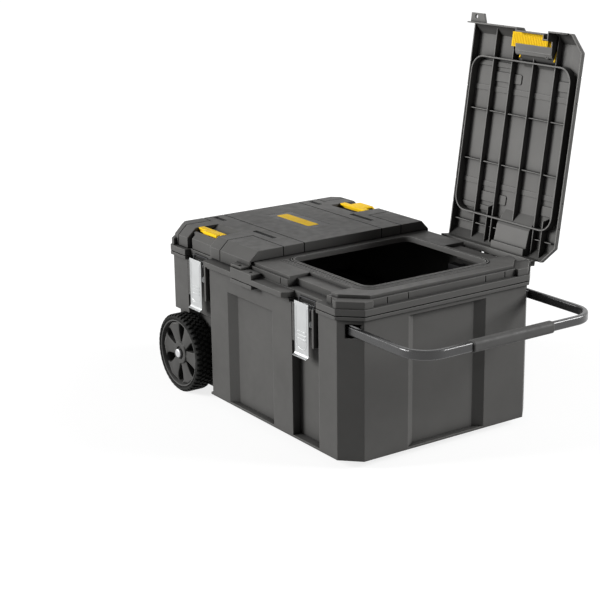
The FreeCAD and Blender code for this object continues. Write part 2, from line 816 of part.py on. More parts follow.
def lid_block(t, z0):
    """Outer form of the lid with every face but the lower one moved inward by t."""
    side = [(lid_y0, z0), (lid_y0, lid_slope_z), (lid_front_edge, lid_top_z), (lid_rear_edge, lid_top_z),
            (lid_y1, lid_slope_z), (lid_y1, z0)]
    plan = [(lid_x0, lid_y0), (lid_x1 - lid_corner, lid_y0), (lid_x1, lid_y0 + lid_corner),
            (lid_x1, lid_y1 - lid_corner), (lid_x1 - lid_corner, lid_y1), (lid_x0, lid_y1)]
    front = [(lid_x0, z0), (lid_x1, z0), (lid_x1, lid_slope_z), (lid_end_edge, lid_top_z),
             (lid_x0, lid_top_z)]
    form = shrunk(side, t, lambda y, z: V(0, y, z), V(far, 0, 0))
    form = form.common(shrunk(plan, t, lambda x, y: V(x, y, 0), V(0, 0, far)))
    form = form.common(shrunk(front, t, lambda x, z: V(x, -far, z), V(0, 2 * far, 0)))
    k = math.sqrt(0.5)
    for s, reach in ((-1, lid_x1 - lid_y0 - lid_corner), (1, lid_x1 + lid_y1 - lid_corner)):
        high = reach - lid_corner_run
        corner = [(-far, z0), (k * reach, z0), (k * reach, lid_slope_z), (k * high, lid_top_z),
                  (-far, lid_top_z)]
        along = V(k, -s * k, 0) * far
        form = form.common(shrunk(corner, t, lambda d, z: V(k * d, s * k * d, z) - along, along * 2))
    return form


def front_clip_room(grow):
    """Space around the front clip's bar and tongue, with walls of the given thickness."""
    low = corner_skirt_z if grow else 0
    front = front_mouth_y - grow
    back = front_back_y + grow
    edge = front_edge_y + 1.7 * grow
    profile = [(front, low), (back, low), (back, pocket_floor_z - grow),
               (front_lip_y, pocket_lip_z - 1.2 * grow), (edge, lid_top_z + 0.5), (edge, lid_top_z + 20),
               (front, lid_top_z + 20)]
    return prism_x(profile, clip_x0 - grow, clip_x1 + grow)


def hook_room():
    """Space behind the lid's front face for the front clip's hook."""
    front = hook_y[0] - 0.5
    top = hook_z[3] + hook_gap
    profile = [(front, 0), (front, hook_z[1] + 0.7), (hook_y[1], hook_z[2] + 1.2), (hook_y[1] + 2, top),
               (front_back_y, top), (front_back_y, 0)]
    return prism_x(profile, hook_x[0] - hook_gap, hook_x[1] + 0.5)


def recessed_face():
    """Lid front face set back under the front clip, its side walls, and what is cleared before it."""
    slope = (lid_top_z - lid_slope_z) / (lid_front_edge - lid_y0)
    out = lid_y0 + clip_recess
    back = out + lid_wall
    mouth = front_mouth_y
    top = lid_slope_z + (mouth - out) * slope
    face = [(out, lid_skirt_z), (out, lid_slope_z), (mouth, top), (mouth, top - 4), (back, lid_slope_z - 1.3),
            (back, lid_skirt_z)]
    side = [(lid_y0, lid_skirt_z), (lid_y0, lid_slope_z), (lid_front_edge, lid_top_z), (mouth, lid_skirt_z)]
    corner = [(out, lid_skirt_z), (out, lid_slope_z), (mouth, top), (mouth, lid_skirt_z)]
    adds = [prism_x(face, clip_x0 - pocket_wall, clip_x1 + pocket_wall),
            prism_x(side, clip_x0 - pocket_wall, clip_x0), prism_x(side, clip_x1, clip_x1 + pocket_wall),
            prism_x(corner, front_slot_x, front_slot_x + front_slot_wall),
            box(front_slot_x, clip_x1, front_slot_y, front_slot_y + pocket_wall, lid_skirt_z, hook_z[3])]
    cleared = [(-far, 0), (out, 0), (out, lid_slope_z), (mouth + 1, top + slope), (mouth + 1, far),
               (-far, far)]
    slot = box(front_slot_x + front_slot_wall, clip_x1, -far, front_slot_y, 0, far)
    return adds, [prism_x(cleared, clip_x0, clip_x1), slot]


def rear_clip_room(grow):
    """Space around the rear clip, closed below, with walls of the given thickness."""
    low = rear_low_z - grow
    back = rear_back_y - grow
    edge = rear_edge_y - 1.7 * grow
    wall_in = lid_y1 - lid_wall - 0.2
    reach = far if grow else wall_in
    profile = [(reach, low), (back, low), (back, pocket_floor_z - grow),
               (rear_lip_y, pocket_lip_z - 1.2 * grow), (edge, lid_top_z + 0.5), (edge, lid_top_z + 20),
               (far, lid_top_z + 20)]
    if not grow:
        profile += [(far, lid_slope_z + 1), (reach, lid_slope_z + 1)]
    return prism_x(profile, clip_x0 - grow, clip_x1 + grow)


def lid_arm(x):
    half = lid_arm_w / 2
    near = lid_axis_y - barrel_r
    out = lid_axis_y + barrel_r
    inside = lid_y1 - lid_wall
    low = lid_skirt_z + arm_z[0]
    high = lid_skirt_z + arm_z[1]
    profile = [(near, lid_axis_z), (out, lid_axis_z), (out, lid_axis_z + 8), (near - 2, high), (inside, high),
               (inside, low), (near, low)]
    barrel = rod_x(lid_axis_y, lid_axis_z, barrel_r, x - half, x + half)
    return fuse(prism_x(profile, x - half, x + half), barrel)


def lid_grooves():
    """Strips of the lid's skin that the decorative grooves take away."""
    skin = lid_block(0, lid_skirt_z).cut(lid_block(groove_d, lid_skirt_z - 20))
    half = groove_w / 2
    high = groove_low_z
    strips = []
    for s in (-1, 1):
        y = s * cross_groove_y
        strips.append(box(-1, far, y - half, y + half, high, far))
        y = s * corner_groove_y
        strips.append(box(corner_groove_x[1] - half, far, y - half, y + half, high, far))
        strips.append(box(-1, corner_groove_x[0] + half, y - half, y + half, high, far))
        for x in corner_groove_x:
            strips.append(box(x - half, x + half, y - s * half, s * far, 0, far))
        y = s * slot_y
        strips += [box(x0, x1, y - slot_w / 2, y + slot_w / 2, high, far) for x0, x1 in lid_slots_x]
    return skin.common(strips)


def lid_sill():
    """Rear strip of the lid that covers the gap above the deck's rear edge."""
    ranges = [(lid_x0 + 1, sill_x1, sill_y[0], sill_z[1])]
    ranges += [(x0, x1, sill_y[1], sill_z[1] - 4) for x0, x1 in sill_deep_x]
    return [box(x0, x1, lid_y1 - 1, y1, sill_z[0], top) for x0, x1, y1, top in ranges]


def make_lid_shell():
    form = lid_block(0, lid_skirt_z)
    shell = form.cut(lid_block(lid_wall, lid_skirt_z - 20))
    shell = shell.cut(box(0, lid_x0 + lid_wall + 0.2, lid_y0 + lid_wall, lid_y1 - lid_wall, 0, seam_wall_z))
    shell = shell.cut(box(lid_x1 - lid_wall - 1, far, -far, far, 0, corner_skirt_z))
    for s, reach in ((-1, lid_x1 - lid_y0 - lid_corner), (1, lid_x1 + lid_y1 - lid_corner)):
        line = reach - corner_skirt_in
        wedge = [(corner_skirt_x, s * (line - corner_skirt_x)), (far, s * (line - far)), (far, s * far),
                 (corner_skirt_x, s * far)]
        shell = shell.cut(prism(wedge, 0, corner_skirt_z))
    ring = rounded_prism(ring_x0, ring_x1, -ring_half_y, ring_half_y, ring_corner, seam_wall_z, lid_top_z - 1)
    ring = ring.cut(rounded_prism(ring_x0 + web, ring_x1 - web, -ring_half_y + web, ring_half_y - web,
                                  ring_corner - web, 0, far))
    roof = lid_top_z - lid_wall + 0.5
    ribs = [box(x - rib_w / 2, x + rib_w / 2, lid_y0, lid_y1, rib_base_z, roof) for x in rib_x]
    for y in cross_rib_y:
        ribs.append(box(lid_x0 + 1, ring_x1 - 1, y - cross_rib_w / 2, y + cross_rib_w / 2, cross_rib_z, roof))
    for y in (-cross_groove_y, cross_groove_y):
        ribs.append(box(lid_x0 + 1, ring_x1 - 1, y - backing_w / 2, y + backing_w / 2,
                        lid_top_z - lid_wall - backing_t, roof))
    adds = [ring] + [rib.common(form) for rib in ribs]
    adds += [room(pocket_wall).common(form) for room in (front_clip_room, rear_clip_room)]
    face, cleared = recessed_face()
    adds += face
    tab = [(lid_x0 + 1, lid_y0 + 2), (tab_root_x, lid_y0 + 2), (tab_x1, tab_y), (lid_x0 + 1, tab_y)]
    adds.append(prism(tab, tab_z0, tab_z0 + tab_h))
    adds += [lid_arm(x) for x in lid_hinge_x]
    adds += lid_sill()
    shell = fuse(shell, *adds)
    cuts = [front_clip_room(0), rear_clip_room(0), hook_room()] + cleared
    cuts.append(lid_grooves())
    cuts.append(box(label_x[0], label_x[1], label_y[0], label_y[1], lid_top_z - label_recess, far))
    cuts.append(rod_z(padlock_x, padlock_y, padlock_r, 0, far))
    half = lid_arm_w / 2
    cuts += [rod_x(lid_axis_y, lid_axis_z, pin_r + run_gap, x - half - 1, x + half + 1) for x in lid_hinge_x]
    cuts += [clip_pin(y, clip_pin_r + press_gap, 1) for y in clip_pins_y()]
    return shell.cut(cuts)


def clip_pins_y():
    return front_bar_y - clip_pin_in, rear_bar_y + clip_pin_in


def clip_pin(y, r, longer):
    return rod_x(y, clip_pin_z, r, clip_x0 - pocket_wall - longer, clip_x1 + pocket_wall + longer)


def make_label_plate():
    z0 = lid_top_z - label_recess
    x0, x1 = label_x
    y0, y1 = label_y
    return box(x0 + slide_gap, x1 - slide_gap, y0 + slide_gap, y1 - slide_gap, z0, z0 + label_t)


def clip_bar(y0, y1, pin_y):
    """Bar and pivot barrel that both clips share."""
    x0 = clip_x0 + clip_end_gap
    x1 = clip_x1 - clip_end_gap
    top = lid_top_z + clip_proud
    return fuse(box(x0, x1, y0, y1, top - clip_t, top), rod_x(pin_y, clip_pin_z, clip_barrel_r, x0, x1),
                box(x0, x1, pin_y - 2, pin_y + 2, clip_pin_z, top - clip_t + 1))


def make_front_clip():
    pin_y = clip_pins_y()[0]
    top = lid_top_z + clip_proud
    bar_end = front_bar_y - clip_bar_w
    tongue = [(bar_end + 1, top), (front_tongue_y, top), (front_tongue_y, front_tongue_z),
              (front_tongue_y + 4, front_tongue_z), (bar_end + 1, top - clip_t)]
    hook = [(hook_y[0], hook_z[0]), (hook_y[0], hook_z[1]), (hook_y[1], hook_z[2]), (hook_y[2], hook_z[3]),
            (hook_y[2], hook_z[0])]
    stem = box(clip_x0 + clip_end_gap, hook_x[1], pin_y - 2, pin_y + 2, hook_z[2], clip_pin_z)
    body = fuse(clip_bar(front_bar_y, bar_end, pin_y), prism_x(tongue, *front_tongue_x),
                prism_x(hook, *hook_x), stem)
    return body.cut(clip_pin(pin_y, clip_pin_r + run_gap, 1))


def make_rear_clip():
    pin_y = clip_pins_y()[1]
    top = lid_top_z + clip_proud
    low = top - clip_t
    bar_end = rear_bar_y + clip_bar_w
    slope = (lid_top_z - lid_slope_z) / (lid_y1 - lid_rear_edge)
    tip_z = lid_top_z - slope * (rear_tip_y - lid_rear_edge)
    tongue = [(bar_end - 1, top), (lid_rear_edge, top), (rear_tip_y, tip_z + clip_proud),
              (rear_tip_y - 2.2, tip_z - 2), (lid_rear_edge - 1.6, low), (bar_end - 1, low)]
    mid = (clip_x0 + clip_x1) / 2
    body = fuse(clip_bar(rear_bar_y, bar_end, pin_y),
                prism_x(tongue, mid - rear_tongue_half, mid + rear_tongue_half))
    return body.cut(clip_pin(pin_y, clip_pin_r + run_gap, 1))


def make_clip_pins():
    return Part.makeCompound([clip_pin(y, clip_pin_r, 0) for y in clip_pins_y()])


def make_latch_base():
    seat = -wall_y + channel_shallow
    low = lever_pin_z - base_low
    plate = box(latch_x - base_half, latch_x + base_half, seat - base_t, seat, low, lever_pin_z + 3)
    profile = [(seat - 1, lever_pin_z - 25), (seat - 1, lever_pin_z - 7),
               (lever_pin_y + 2.7, lever_pin_z + 3.6), (lever_pin_y, lever_pin_z),
               (lever_pin_y - 3.2, lever_pin_z - 3.2)]
    adds = []
    for s in (-1, 1):
        x0 = latch_x + s * base_lug_x[0]
        x1 = latch_x + s * base_lug_x[1]
        adds.append(prism_x(profile, min(x0, x1), max(x0, x1)))
        adds.append(rod_x(lever_pin_y, lever_pin_z, lever_pin_r + 2, x0, x1))
    bore = rod_x(lever_pin_y, lever_pin_z, lever_pin_r + press_gap, latch_x - 30, latch_x + 30)
    return fuse(plate, *adds).cut(bore)


def make_latch_pin():
    half = lever_half + 0.5
    return rod_x(lever_pin_y, lever_pin_z, lever_pin_r, latch_x - half, latch_x + half)


def make_lever():
    x0 = latch_x - lever_half
    x1 = latch_x + lever_half
    inner = lever_out_y + lever_t
    plate = box(x0, x1, lever_out_y, inner, lever_z0, lever_z1)
    y = lever_pin_y
    z = lever_pin_z
    cheek = [(inner - 0.5, lever_z1 - 2), (y + 3.5, z + 4), (y + 6, z - 3), (y + 8, z - 17), (y + 5, z - 21),
             (inner - 0.5, z - 27)]
    y = lever_out_y
    z = lever_z0
    curl = [(inner, z + 2), (inner, z - 0.5), (y - 1.5, z - 4.5), (y - 6.1, z - 6.4), (y - 6.7, z - 5),
            (y - 2.5, z - 3.1), (y, z + 0.2), (y, z + 2)]
    adds = [prism_x(curl, x0, x1)]
    for s in (-1, 1):
        side = latch_x + s * lever_half
        adds.append(prism_x(cheek, min(side, side - s * lever_t), max(side, side - s * lever_t)))
    for z in [lever_z0 + d for d in lever_rib_z]:
        adds.append(box(latch_x - 15, latch_x + 15, lever_out_y - 0.8, lever_out_y + 0.5, z, z + 3.5))
    holes = [rod_x(lever_pin_y, lever_pin_z, lever_pin_r + run_gap, x0 - 1, x1 + 1),
             rod_x(bail_pin_y, bail_pin_z, bail_r + run_gap, x0 - 1, x1 + 1)]
    return fuse(plate, *adds).cut(holes)


def make_bail():
    foot = V(0, bail_pin_y, bail_pin_z)
    head = V(0, bail_top_y, bail_top_z)
    parts = [rod_x(head.y, head.z, bail_r, latch_x - bail_half, latch_x + bail_half)]
    for s in (-1, 1):
        x = V(latch_x + s * bail_half, 0, 0)
        parts.append(Part.makeCylinder(bail_r, (head - foot).Length, foot + x, head - foot))
        parts.append(rod_x(foot.y, foot.z, bail_r, x.x, latch_x + s * (lever_half - 3.5)))
        parts += [Part.makeSphere(bail_r, foot + x), Part.makeSphere(bail_r, head + x)]
    return fuse(*parts)


def opened(shape):
    """A right-lid piece moved from its closed place to the open pose."""
    return shape.rotated(V(0, lid_axis_y, lid_axis_z), V(1, 0, 0), -lid_open_deg)


def collect():
    nodes = {"tub_shell": make_tub_shell(), "deck_frame": make_deck_frame(), "rim_seal": make_rim_seal()}
    skid = make_skid()
    sleeve = make_sleeve()
    hub = make_hub()
    tyre = make_tyre()
    bush = make_bush()
    cap = make_cap()
    for name, shape in (("runner", skid), ("handle_sleeve", sleeve), ("wheel_hub", hub), ("wheel_tyre", tyre),
                        ("wheel_bush", bush), ("axle_cap", cap)):
        nodes["front_" + name] = shape
        nodes["rear_" + name] = mirror_y(shape)
    nodes["cross_runner"] = make_cross_runner()
    nodes["axle"] = rod_y(wheel_x, wheel_r, axle_r, -axle_half, axle_half)
    nodes["axle_washers"] = make_washers()
    nodes["deck_hinge_pins"] = make_deck_hinge_pins()
    for name, shape in (("latch_base", make_latch_base()), ("latch_pin", make_latch_pin()),
                        ("latch_lever", make_lever()), ("latch_bail", make_bail()),
                        ("opening_seal", make_opening_seal()), ("lid_hinge_pins", make_lid_hinge_pins())):
        nodes["right_" + name] = shape
        nodes["left_" + name] = mirror_x(shape)
    for name, shape in (("lid_shell", make_lid_shell()), ("label_plate", make_label_plate()),
                        ("clip_pins", make_clip_pins()), ("front_clip", make_front_clip()),
                        ("rear_clip", make_rear_clip())):
        nodes["right_" + name] = opened(shape)
        nodes["left_" + name] = mirror_x(shape)
    nodes["handle_tube"] = make_handle_tube()
    nodes["handle_grip"] = make_handle_grip()
    nodes["handle_plugs"] = make_handle_plugs()
    return nodes


os.makedirs("parts", exist_ok=True)
for node, solid in collect().items():
    solid.exportStep("parts/" + node + ".step")
    print(node, solid.ShapeType, len(solid.Solids), solid.isValid(), round(solid.Volume / 1000, 1))
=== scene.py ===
import logging
import math
from collections.abc import Callable, Sequence
from dataclasses import dataclass
from enum import Enum

import bmesh
import bpy
from mathutils import Matrix, Vector


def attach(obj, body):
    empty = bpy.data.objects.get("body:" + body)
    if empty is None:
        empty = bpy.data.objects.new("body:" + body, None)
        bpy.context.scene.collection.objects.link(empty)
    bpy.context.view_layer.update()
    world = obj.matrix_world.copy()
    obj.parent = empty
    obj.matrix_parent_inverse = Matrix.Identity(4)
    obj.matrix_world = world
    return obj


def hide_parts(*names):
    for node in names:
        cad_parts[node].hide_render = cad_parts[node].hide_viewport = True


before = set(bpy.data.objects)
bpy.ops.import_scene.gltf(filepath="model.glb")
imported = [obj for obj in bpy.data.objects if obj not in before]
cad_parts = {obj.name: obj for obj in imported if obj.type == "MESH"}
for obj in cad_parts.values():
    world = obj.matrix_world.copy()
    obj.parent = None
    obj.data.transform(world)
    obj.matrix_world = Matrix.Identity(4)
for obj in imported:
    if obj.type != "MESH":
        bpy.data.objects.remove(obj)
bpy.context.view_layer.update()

LOG = logging.getLogger("storage_box")
MM = 0.001
SHARP_EDGE = math.radians(32)
BEVEL_SAMPLES = 4
# Samples of the ambient occlusion that paints shade into colours.
SHADE_PAINT_SAMPLES = 8
GRAIN_DETAIL = 2.0
WHITE = (1.0, 1.0, 1.0, 1.0)

Node = bpy.types.Node
Material = bpy.types.Material
Colour = tuple[float, float, float]
Point = tuple[float, float, float]
Range = tuple[float, float]
Flat = Sequence[Range]
Place = Callable[[float, float, float], Vector]


class Where(Enum):
    """A part of the box that node names start with."""

    @property
    def label(self) -> str:
        """Node-name prefix of this part."""
        return self.name.lower()


class Side(Where):
    """Which half of the deck a lid or latch sits on; the value is the sign of its X."""

    LEFT = -1
    RIGHT = 1


class End(Where):
    """Front or rear of the box; the value is the sign of its Y."""

    FRONT = -1
    REAR = 1


class ShaderBench:
    """Node tree of one material, with short calls to add and join nodes."""

    def __init__(self, name: str) -> None:
        """Start an empty tree with a principled shader wired to the output.

        Args:
            name: Name of the material.
        """
        self.material = bpy.data.materials.new(name)
        self.material.use_nodes = True
        self.tree = self.material.node_tree
        self.tree.nodes.clear()
        self.output = self.add("OutputMaterial")
        self.shader = self.add("BsdfPrincipled")
        self.join(self.shader, "BSDF", self.output, "Surface")

    def add(self, kind: str, **values: object) -> Node:
        """Add a node and set its sockets or properties.

        Args:
            kind: Blender's node type, without the ShaderNode that it starts with.
            values: Socket or property values; spaces in socket names are written as underscores.

        Returns:
            The new node.
        """
        node = self.tree.nodes.new(f"ShaderNode{kind}")
        for key, value in values.items():
            socket = node.inputs.get(key.replace("_", " "))
            if socket is not None:
                socket.default_value = value
            else:
                setattr(node, key, value)
        return node

    def join(self, source: Node, out: str, target: Node, into: str) -> None:
        """Link one socket to another by name.

        Args:
            source: Node that gives the value.
            out: Its output socket.
            target: Node that takes the value.
            into: Its input socket.
        """
        self.tree.links.new(source.outputs[out], target.inputs[into])

    def noise(self, scale: float, detail: float,
              stretch: Point = (1.0, 1.0, 1.0)) -> Node:
        """Add a noise texture in the part's own metres.

        Args:
            scale: Cells per metre.
            detail: Octaves.
            stretch: Scale of the coordinates along each axis.

        Returns:
            The noise node.
        """
        place = self.add("TexCoord")
        mapping = self.add("Mapping", Scale=stretch)
        texture = self.add("TexNoise", Scale=scale, Detail=detail)
        self.join(place, "Object", mapping, "Vector")
        self.join(mapping, "Vector", texture, "Vector")
        return texture

    def span(self, source: Node, out: str, into: Range = (0.0, 1.0),
             over: Range = (0.3, 0.7)) -> Node:
        """Map one range of a value to another.

        Args:
            source: Node that gives the value.
            out: Its output socket.
            into: Results at the ends of the range.
            over: Values at the ends of the range.

        Returns:
            The map-range node.
        """
        node = self.add("MapRange", From_Min=over[0], From_Max=over[1],
                        To_Min=into[0], To_Max=into[1])
        self.join(source, out, node, "Value")
        return node

    def tint(self, factor: Node, first: Colour, second: Colour) -> Node:
        """Blend two colours by a factor.

        Args:
            factor: Map-range node that gives the factor.
            first: Colour at 0.
            second: Colour at 1.

        Returns:
            The mix node; its colour is the Result output.
        """
        node = self.add("Mix", data_type="RGBA")
        node.inputs["A"].default_value = (*first, 1.0)
        node.inputs["B"].default_value = (*second, 1.0)
        self.join(factor, "Result", node, "Factor")
        return node

    def scale(self, colour: Node, share: Node) -> Node:
        """Multiply a colour by a value.

        Args:
            colour: Mix node that gives the colour.
            share: Map-range node that gives the value.

        Returns:
            The mix node with the product.
        """
        node = self.add("Mix", data_type="RGBA", blend_type="MULTIPLY", Factor=1.0)
        self.join(colour, "Result", node, "A")
        self.join(share, "Result", node, "B")
        return node

    def paint_shade(self, colour: Node, reach: float, shade: float,
             opened: Range) -> Node:
        """Paint shade into a colour where the surface is closed in, from ambient occlusion.

        Args:
            colour: Mix node that gives the colour.
            reach: How far off a wall still shades, in metres.
            shade: Share of the colour left where it is darkest.
            opened: Openness where it is darkest, and where it is not darkened.

        Returns:
            The mix node with the darkened colour.
        """
        node = self.add("AmbientOcclusion", samples=SHADE_PAINT_SAMPLES, Distance=reach)
        return self.scale(colour, self.span(node, "AO", (shade, 1.0), opened))

    def colour(self, node: Node) -> None:
        """Send a mix node's colour to the shader.

        Args:
            node: The mix node.
        """
        self.join(node, "Result", self.shader, "Base Color")


def lit(colour: Colour, gain: float) -> Colour:
    """Colour made lighter or darker by a gain."""
    return tuple(c * gain for c in colour)


def seen_rays(tree: bpy.types.NodeTree) -> bpy.types.NodeSocket:
    """Add nodes that tell the rays by which something is seen from those that light.

    Args:
        tree: Tree to add to.

    Returns:
        A value that is 1 for camera, glossy and transmission rays.
    """
    rays = tree.nodes.new("ShaderNodeLightPath")
    value = rays.outputs["Is Camera Ray"]
    for flag in ("Is Glossy Ray", "Is Transmission Ray"):
        either = tree.nodes.new("ShaderNodeMath")
        either.operation = "MAXIMUM"
        tree.links.new(value, either.inputs[0])
        tree.links.new(rays.outputs[flag], either.inputs[1])
        value = either.outputs["Value"]
    return value


@dataclass(frozen=True)
class Finish:
    """What the finishes share: a scuffed surface with a fine relief and softened edges.

    Args:
        name: Name of the material.
        colour: Linear base colour.
        roughness: Mean roughness.
        rough_spread: How far the roughness goes below and above its mean.
        scuff: Cells per metre and octaves of that change.
        relief: Cells per metre, height in metres and bump strength of the relief.
        stretch: Scale of scuffs and relief along each axis; a small one is the way they run.
        edge_radius: Radius that the edges seem rounded by, in metres, or 0 for none.
        sheen: Specular level of the surface.
    """

    name: str
    colour: Colour
    roughness: float = 0.5
    rough_spread: Range = (0.06, 0.1)
    scuff: Range = (55.0, 5.0)
    relief: Point = (1500.0, 0.00008, 0.55)
    stretch: Point = (1.0, 1.0, 1.0)
    edge_radius: float = 0.0024
    sheen: float = 0.5

    def start(self) -> tuple[ShaderBench, Node | None]:
        """Start the material with its sheen, roughness, relief and soft edges.

        Returns:
            Its tree, and the node that softens its edges.
        """
        bench, bevel = ShaderBench(self.name), None
        bench.shader.inputs["Specular IOR Level"].default_value = self.sheen
        less, more = self.rough_spread
        rough = bench.span(bench.noise(*self.scuff, self.stretch), "Fac",
                           (self.roughness - less, self.roughness + more))
        bench.join(rough, "Result", bench.shader, "Roughness")
        grain, depth, strength = self.relief
        bump = bench.add("Bump", Strength=strength, Distance=depth)
        bench.join(bench.noise(grain, GRAIN_DETAIL, self.stretch), "Fac", bump, "Height")
        bench.join(bump, "Normal", bench.shader, "Normal")
        if self.edge_radius:
            bevel = bench.add("Bevel", samples=BEVEL_SAMPLES, Radius=self.edge_radius)
            bench.join(bevel, "Normal", bump, "Normal")
        return bench, bevel


@dataclass(frozen=True)
class MouldedPlastic(Finish):
    """Grained injection-moulded plastic with softened edges, a painted highlight along those edges,
    painted light on faces that look one given way, and painted shade in seams and recesses.

    Args:
        edge_highlight_gain: How much lighter the painted highlight makes the edges.
        edge_highlight_turn: Cosines of the turn at an edge where the painted highlight is full, and
            where there is none.
        mottle: Share by which the colour varies over the moulding.
        cloud: Cells per metre and octaves of that variation.
        crevice: Reach of the painted shade in seams and corners, in metres.
        crevice_shade: Share of the colour left by the painted shade in the deepest seams.
        crevice_open: Openness where the painted seam shade is darkest, and where there is none.
        hollow: Reach of the softer painted shade in recesses, in metres.
        hollow_shade: Share of the colour left by the painted shade in the deepest recesses.
        hollow_open: Openness where the painted recess shade is darkest, and where there is none.
        lit_side_way: Direction, in the part's own axes, of the faces that are painted lighter as
            painted light.
        lit_side_gain: How much lighter the painted light makes those faces.
        lit_side_turn: Cosines of the turn from that way where the painted light starts, and where
            it is full.
    """

    sheen: float = 0.1
    edge_highlight_gain: float = 2.2
    edge_highlight_turn: Range = (0.78, 0.985)
    mottle: float = 0.07
    cloud: Range = (9.0, 4.0)
    crevice: float = 0.006
    crevice_shade: float = 0.05
    crevice_open: Range = (0.42, 0.8)
    hollow: float = 0.04
    hollow_shade: float = 0.4
    hollow_open: Range = (0.35, 0.9)
    lit_side_way: Point | None = None
    lit_side_gain: float = 1.75
    lit_side_turn: Range = (0.8, 0.95)

    def material(self) -> Material:
        """Build the material.

        Returns:
            The plastic.
        """
        bench, bevel = self.start()
        surface = bench.add("NewGeometry")
        turn = bench.add("VectorMath", operation="DOT_PRODUCT")
        bench.tree.links.new(bevel.outputs["Normal"], turn.inputs[0])
        bench.tree.links.new(surface.outputs["True Normal"], turn.inputs[1])
        edge = bench.span(turn, "Value", (1.0, 0.0), self.edge_highlight_turn)
        cloud = bench.span(bench.noise(*self.cloud), "Fac")
        body = bench.tint(cloud, lit(self.colour, 1.0 - self.mottle),
                          lit(self.colour, 1.0 + self.mottle))
        # Painted highlight: the edge mask lightens the colour along every edge.
        face = bench.tint(edge, self.colour, lit(self.colour, self.edge_highlight_gain))
        bench.join(body, "Result", face, "A")
        # Painted light: faces that look the given way are made lighter.
        if self.lit_side_way is not None:
            place = bench.add("TexCoord")
            look = bench.add("VectorMath", operation="DOT_PRODUCT")
            look.inputs[1].default_value = self.lit_side_way
            bench.join(place, "Normal", look, "Vector")
            gain = bench.span(look, "Value", (1.0, self.lit_side_gain), self.lit_side_turn)
            face = bench.scale(face, gain)
        # Painted shade in seams and recesses, from ambient occlusion.
        face = bench.paint_shade(face, self.crevice, self.crevice_shade, self.crevice_open)
        bench.colour(bench.paint_shade(face, self.hollow, self.hollow_shade, self.hollow_open))
        return bench.material


@dataclass(frozen=True)
class PressedSteel(Finish):
    """Bright steel with a faint drawn grain and smudges.

    Args:
        smudge: Cells per metre and octaves of the smudges.
        smudge_gain: Share of the colour left in the smudges.
    """

    roughness: float = 0.34
    rough_spread: Range = (0.06, 0.08)
    scuff: Range = (1600.0, GRAIN_DETAIL)
    relief: Point = (1600.0, 0.00002, 0.3)
    stretch: Point = (1.0, 1.0, 0.06)
    edge_radius: float = 0.0007
    smudge: Range = (38.0, 4.0)
    smudge_gain: float = 0.92

    def material(self) -> Material:
        """Build the material.

        Returns:
            The steel.
        """
        bench, _ = self.start()
        bench.shader.inputs["Metallic"].default_value = 1.0
        smudge = bench.span(bench.noise(*self.smudge), "Fac")
        bench.colour(bench.tint(smudge, lit(self.colour, self.smudge_gain), self.colour))
        return bench.material


@dataclass(frozen=True)
class SoftRubber(Finish):
    """Matte rubber with dusty patches, and painted shade between lugs and in corners.

    Args:
        dust: Linear colour of the dusty patches.
        patch: Cells per metre and octaves of those patches.
        patch_span: Noise where a patch starts, and where it is full.
        crevice: Reach of the painted shade between lugs and in corners, in metres.
        crevice_shade: Share of the colour left by the painted shade in the deepest of them.
        crevice_open: Openness where the painted shade is darkest, and where there is none.
    """

    roughness: float = 0.68
    rough_spread: Range = (0.08, 0.08)
    scuff: Range = (120.0, 3.0)
    relief: Point = (900.0, 0.00012, 0.5)
    edge_radius: float = 0.0012
    sheen: float = 0.08
    dust: Colour = (0.02, 0.02, 0.02)
    patch: Range = (30.0, 5.0)
    patch_span: Range = (0.42, 0.75)
    crevice: float = 0.006
    crevice_shade: float = 0.15
    crevice_open: Range = (0.4, 0.9)

    def material(self) -> Material:
        """Build the material.

        Returns:
            The rubber.
        """
        bench, _ = self.start()
        patch = bench.span(bench.noise(*self.patch), "Fac", over=self.patch_span)
        face = bench.tint(patch, self.colour, self.dust)
        # Painted shade between lugs and in corners, from ambient occlusion.
        bench.colour(bench.paint_shade(face, self.crevice, self.crevice_shade, self.crevice_open))
        return bench.material


@dataclass(frozen=True)
class GlossPaint(Finish):
    """Painted metal with a clear coat and slight orange peel.

    Args:
        coat: Weight of the clear coat.
        coat_roughness: Roughness of the coat.
        rub: Cells per metre and octaves of the rubbed patches.
        rub_span: Noise where a rubbed patch starts, and where it is full.
        rub_gain: How much lighter the rubbed patches are.
    """

    roughness: float = 0.3
    rough_spread: Range = (0.05, 0.1)
    scuff: Range = (70.0, 4.0)
    relief: Point = (420.0, 0.00004, 0.25)
    edge_radius: float = 0.0
    coat: float = 0.4
    coat_roughness: float = 0.12
    rub: Range = (26.0, 4.0)
    rub_span: Range = (0.4, 0.72)
    rub_gain: float = 1.3

    def material(self) -> Material:
        """Build the material.

        Returns:
            The paint.
        """
        bench, _ = self.start()
        bench.shader.inputs["Coat Weight"].default_value = self.coat
        bench.shader.inputs["Coat Roughness"].default_value = self.coat_roughness
        rub = bench.span(bench.noise(*self.rub), "Fac", over=self.rub_span)
        bench.colour(bench.tint(rub, self.colour, lit(self.colour, self.rub_gain)))
        return bench.material


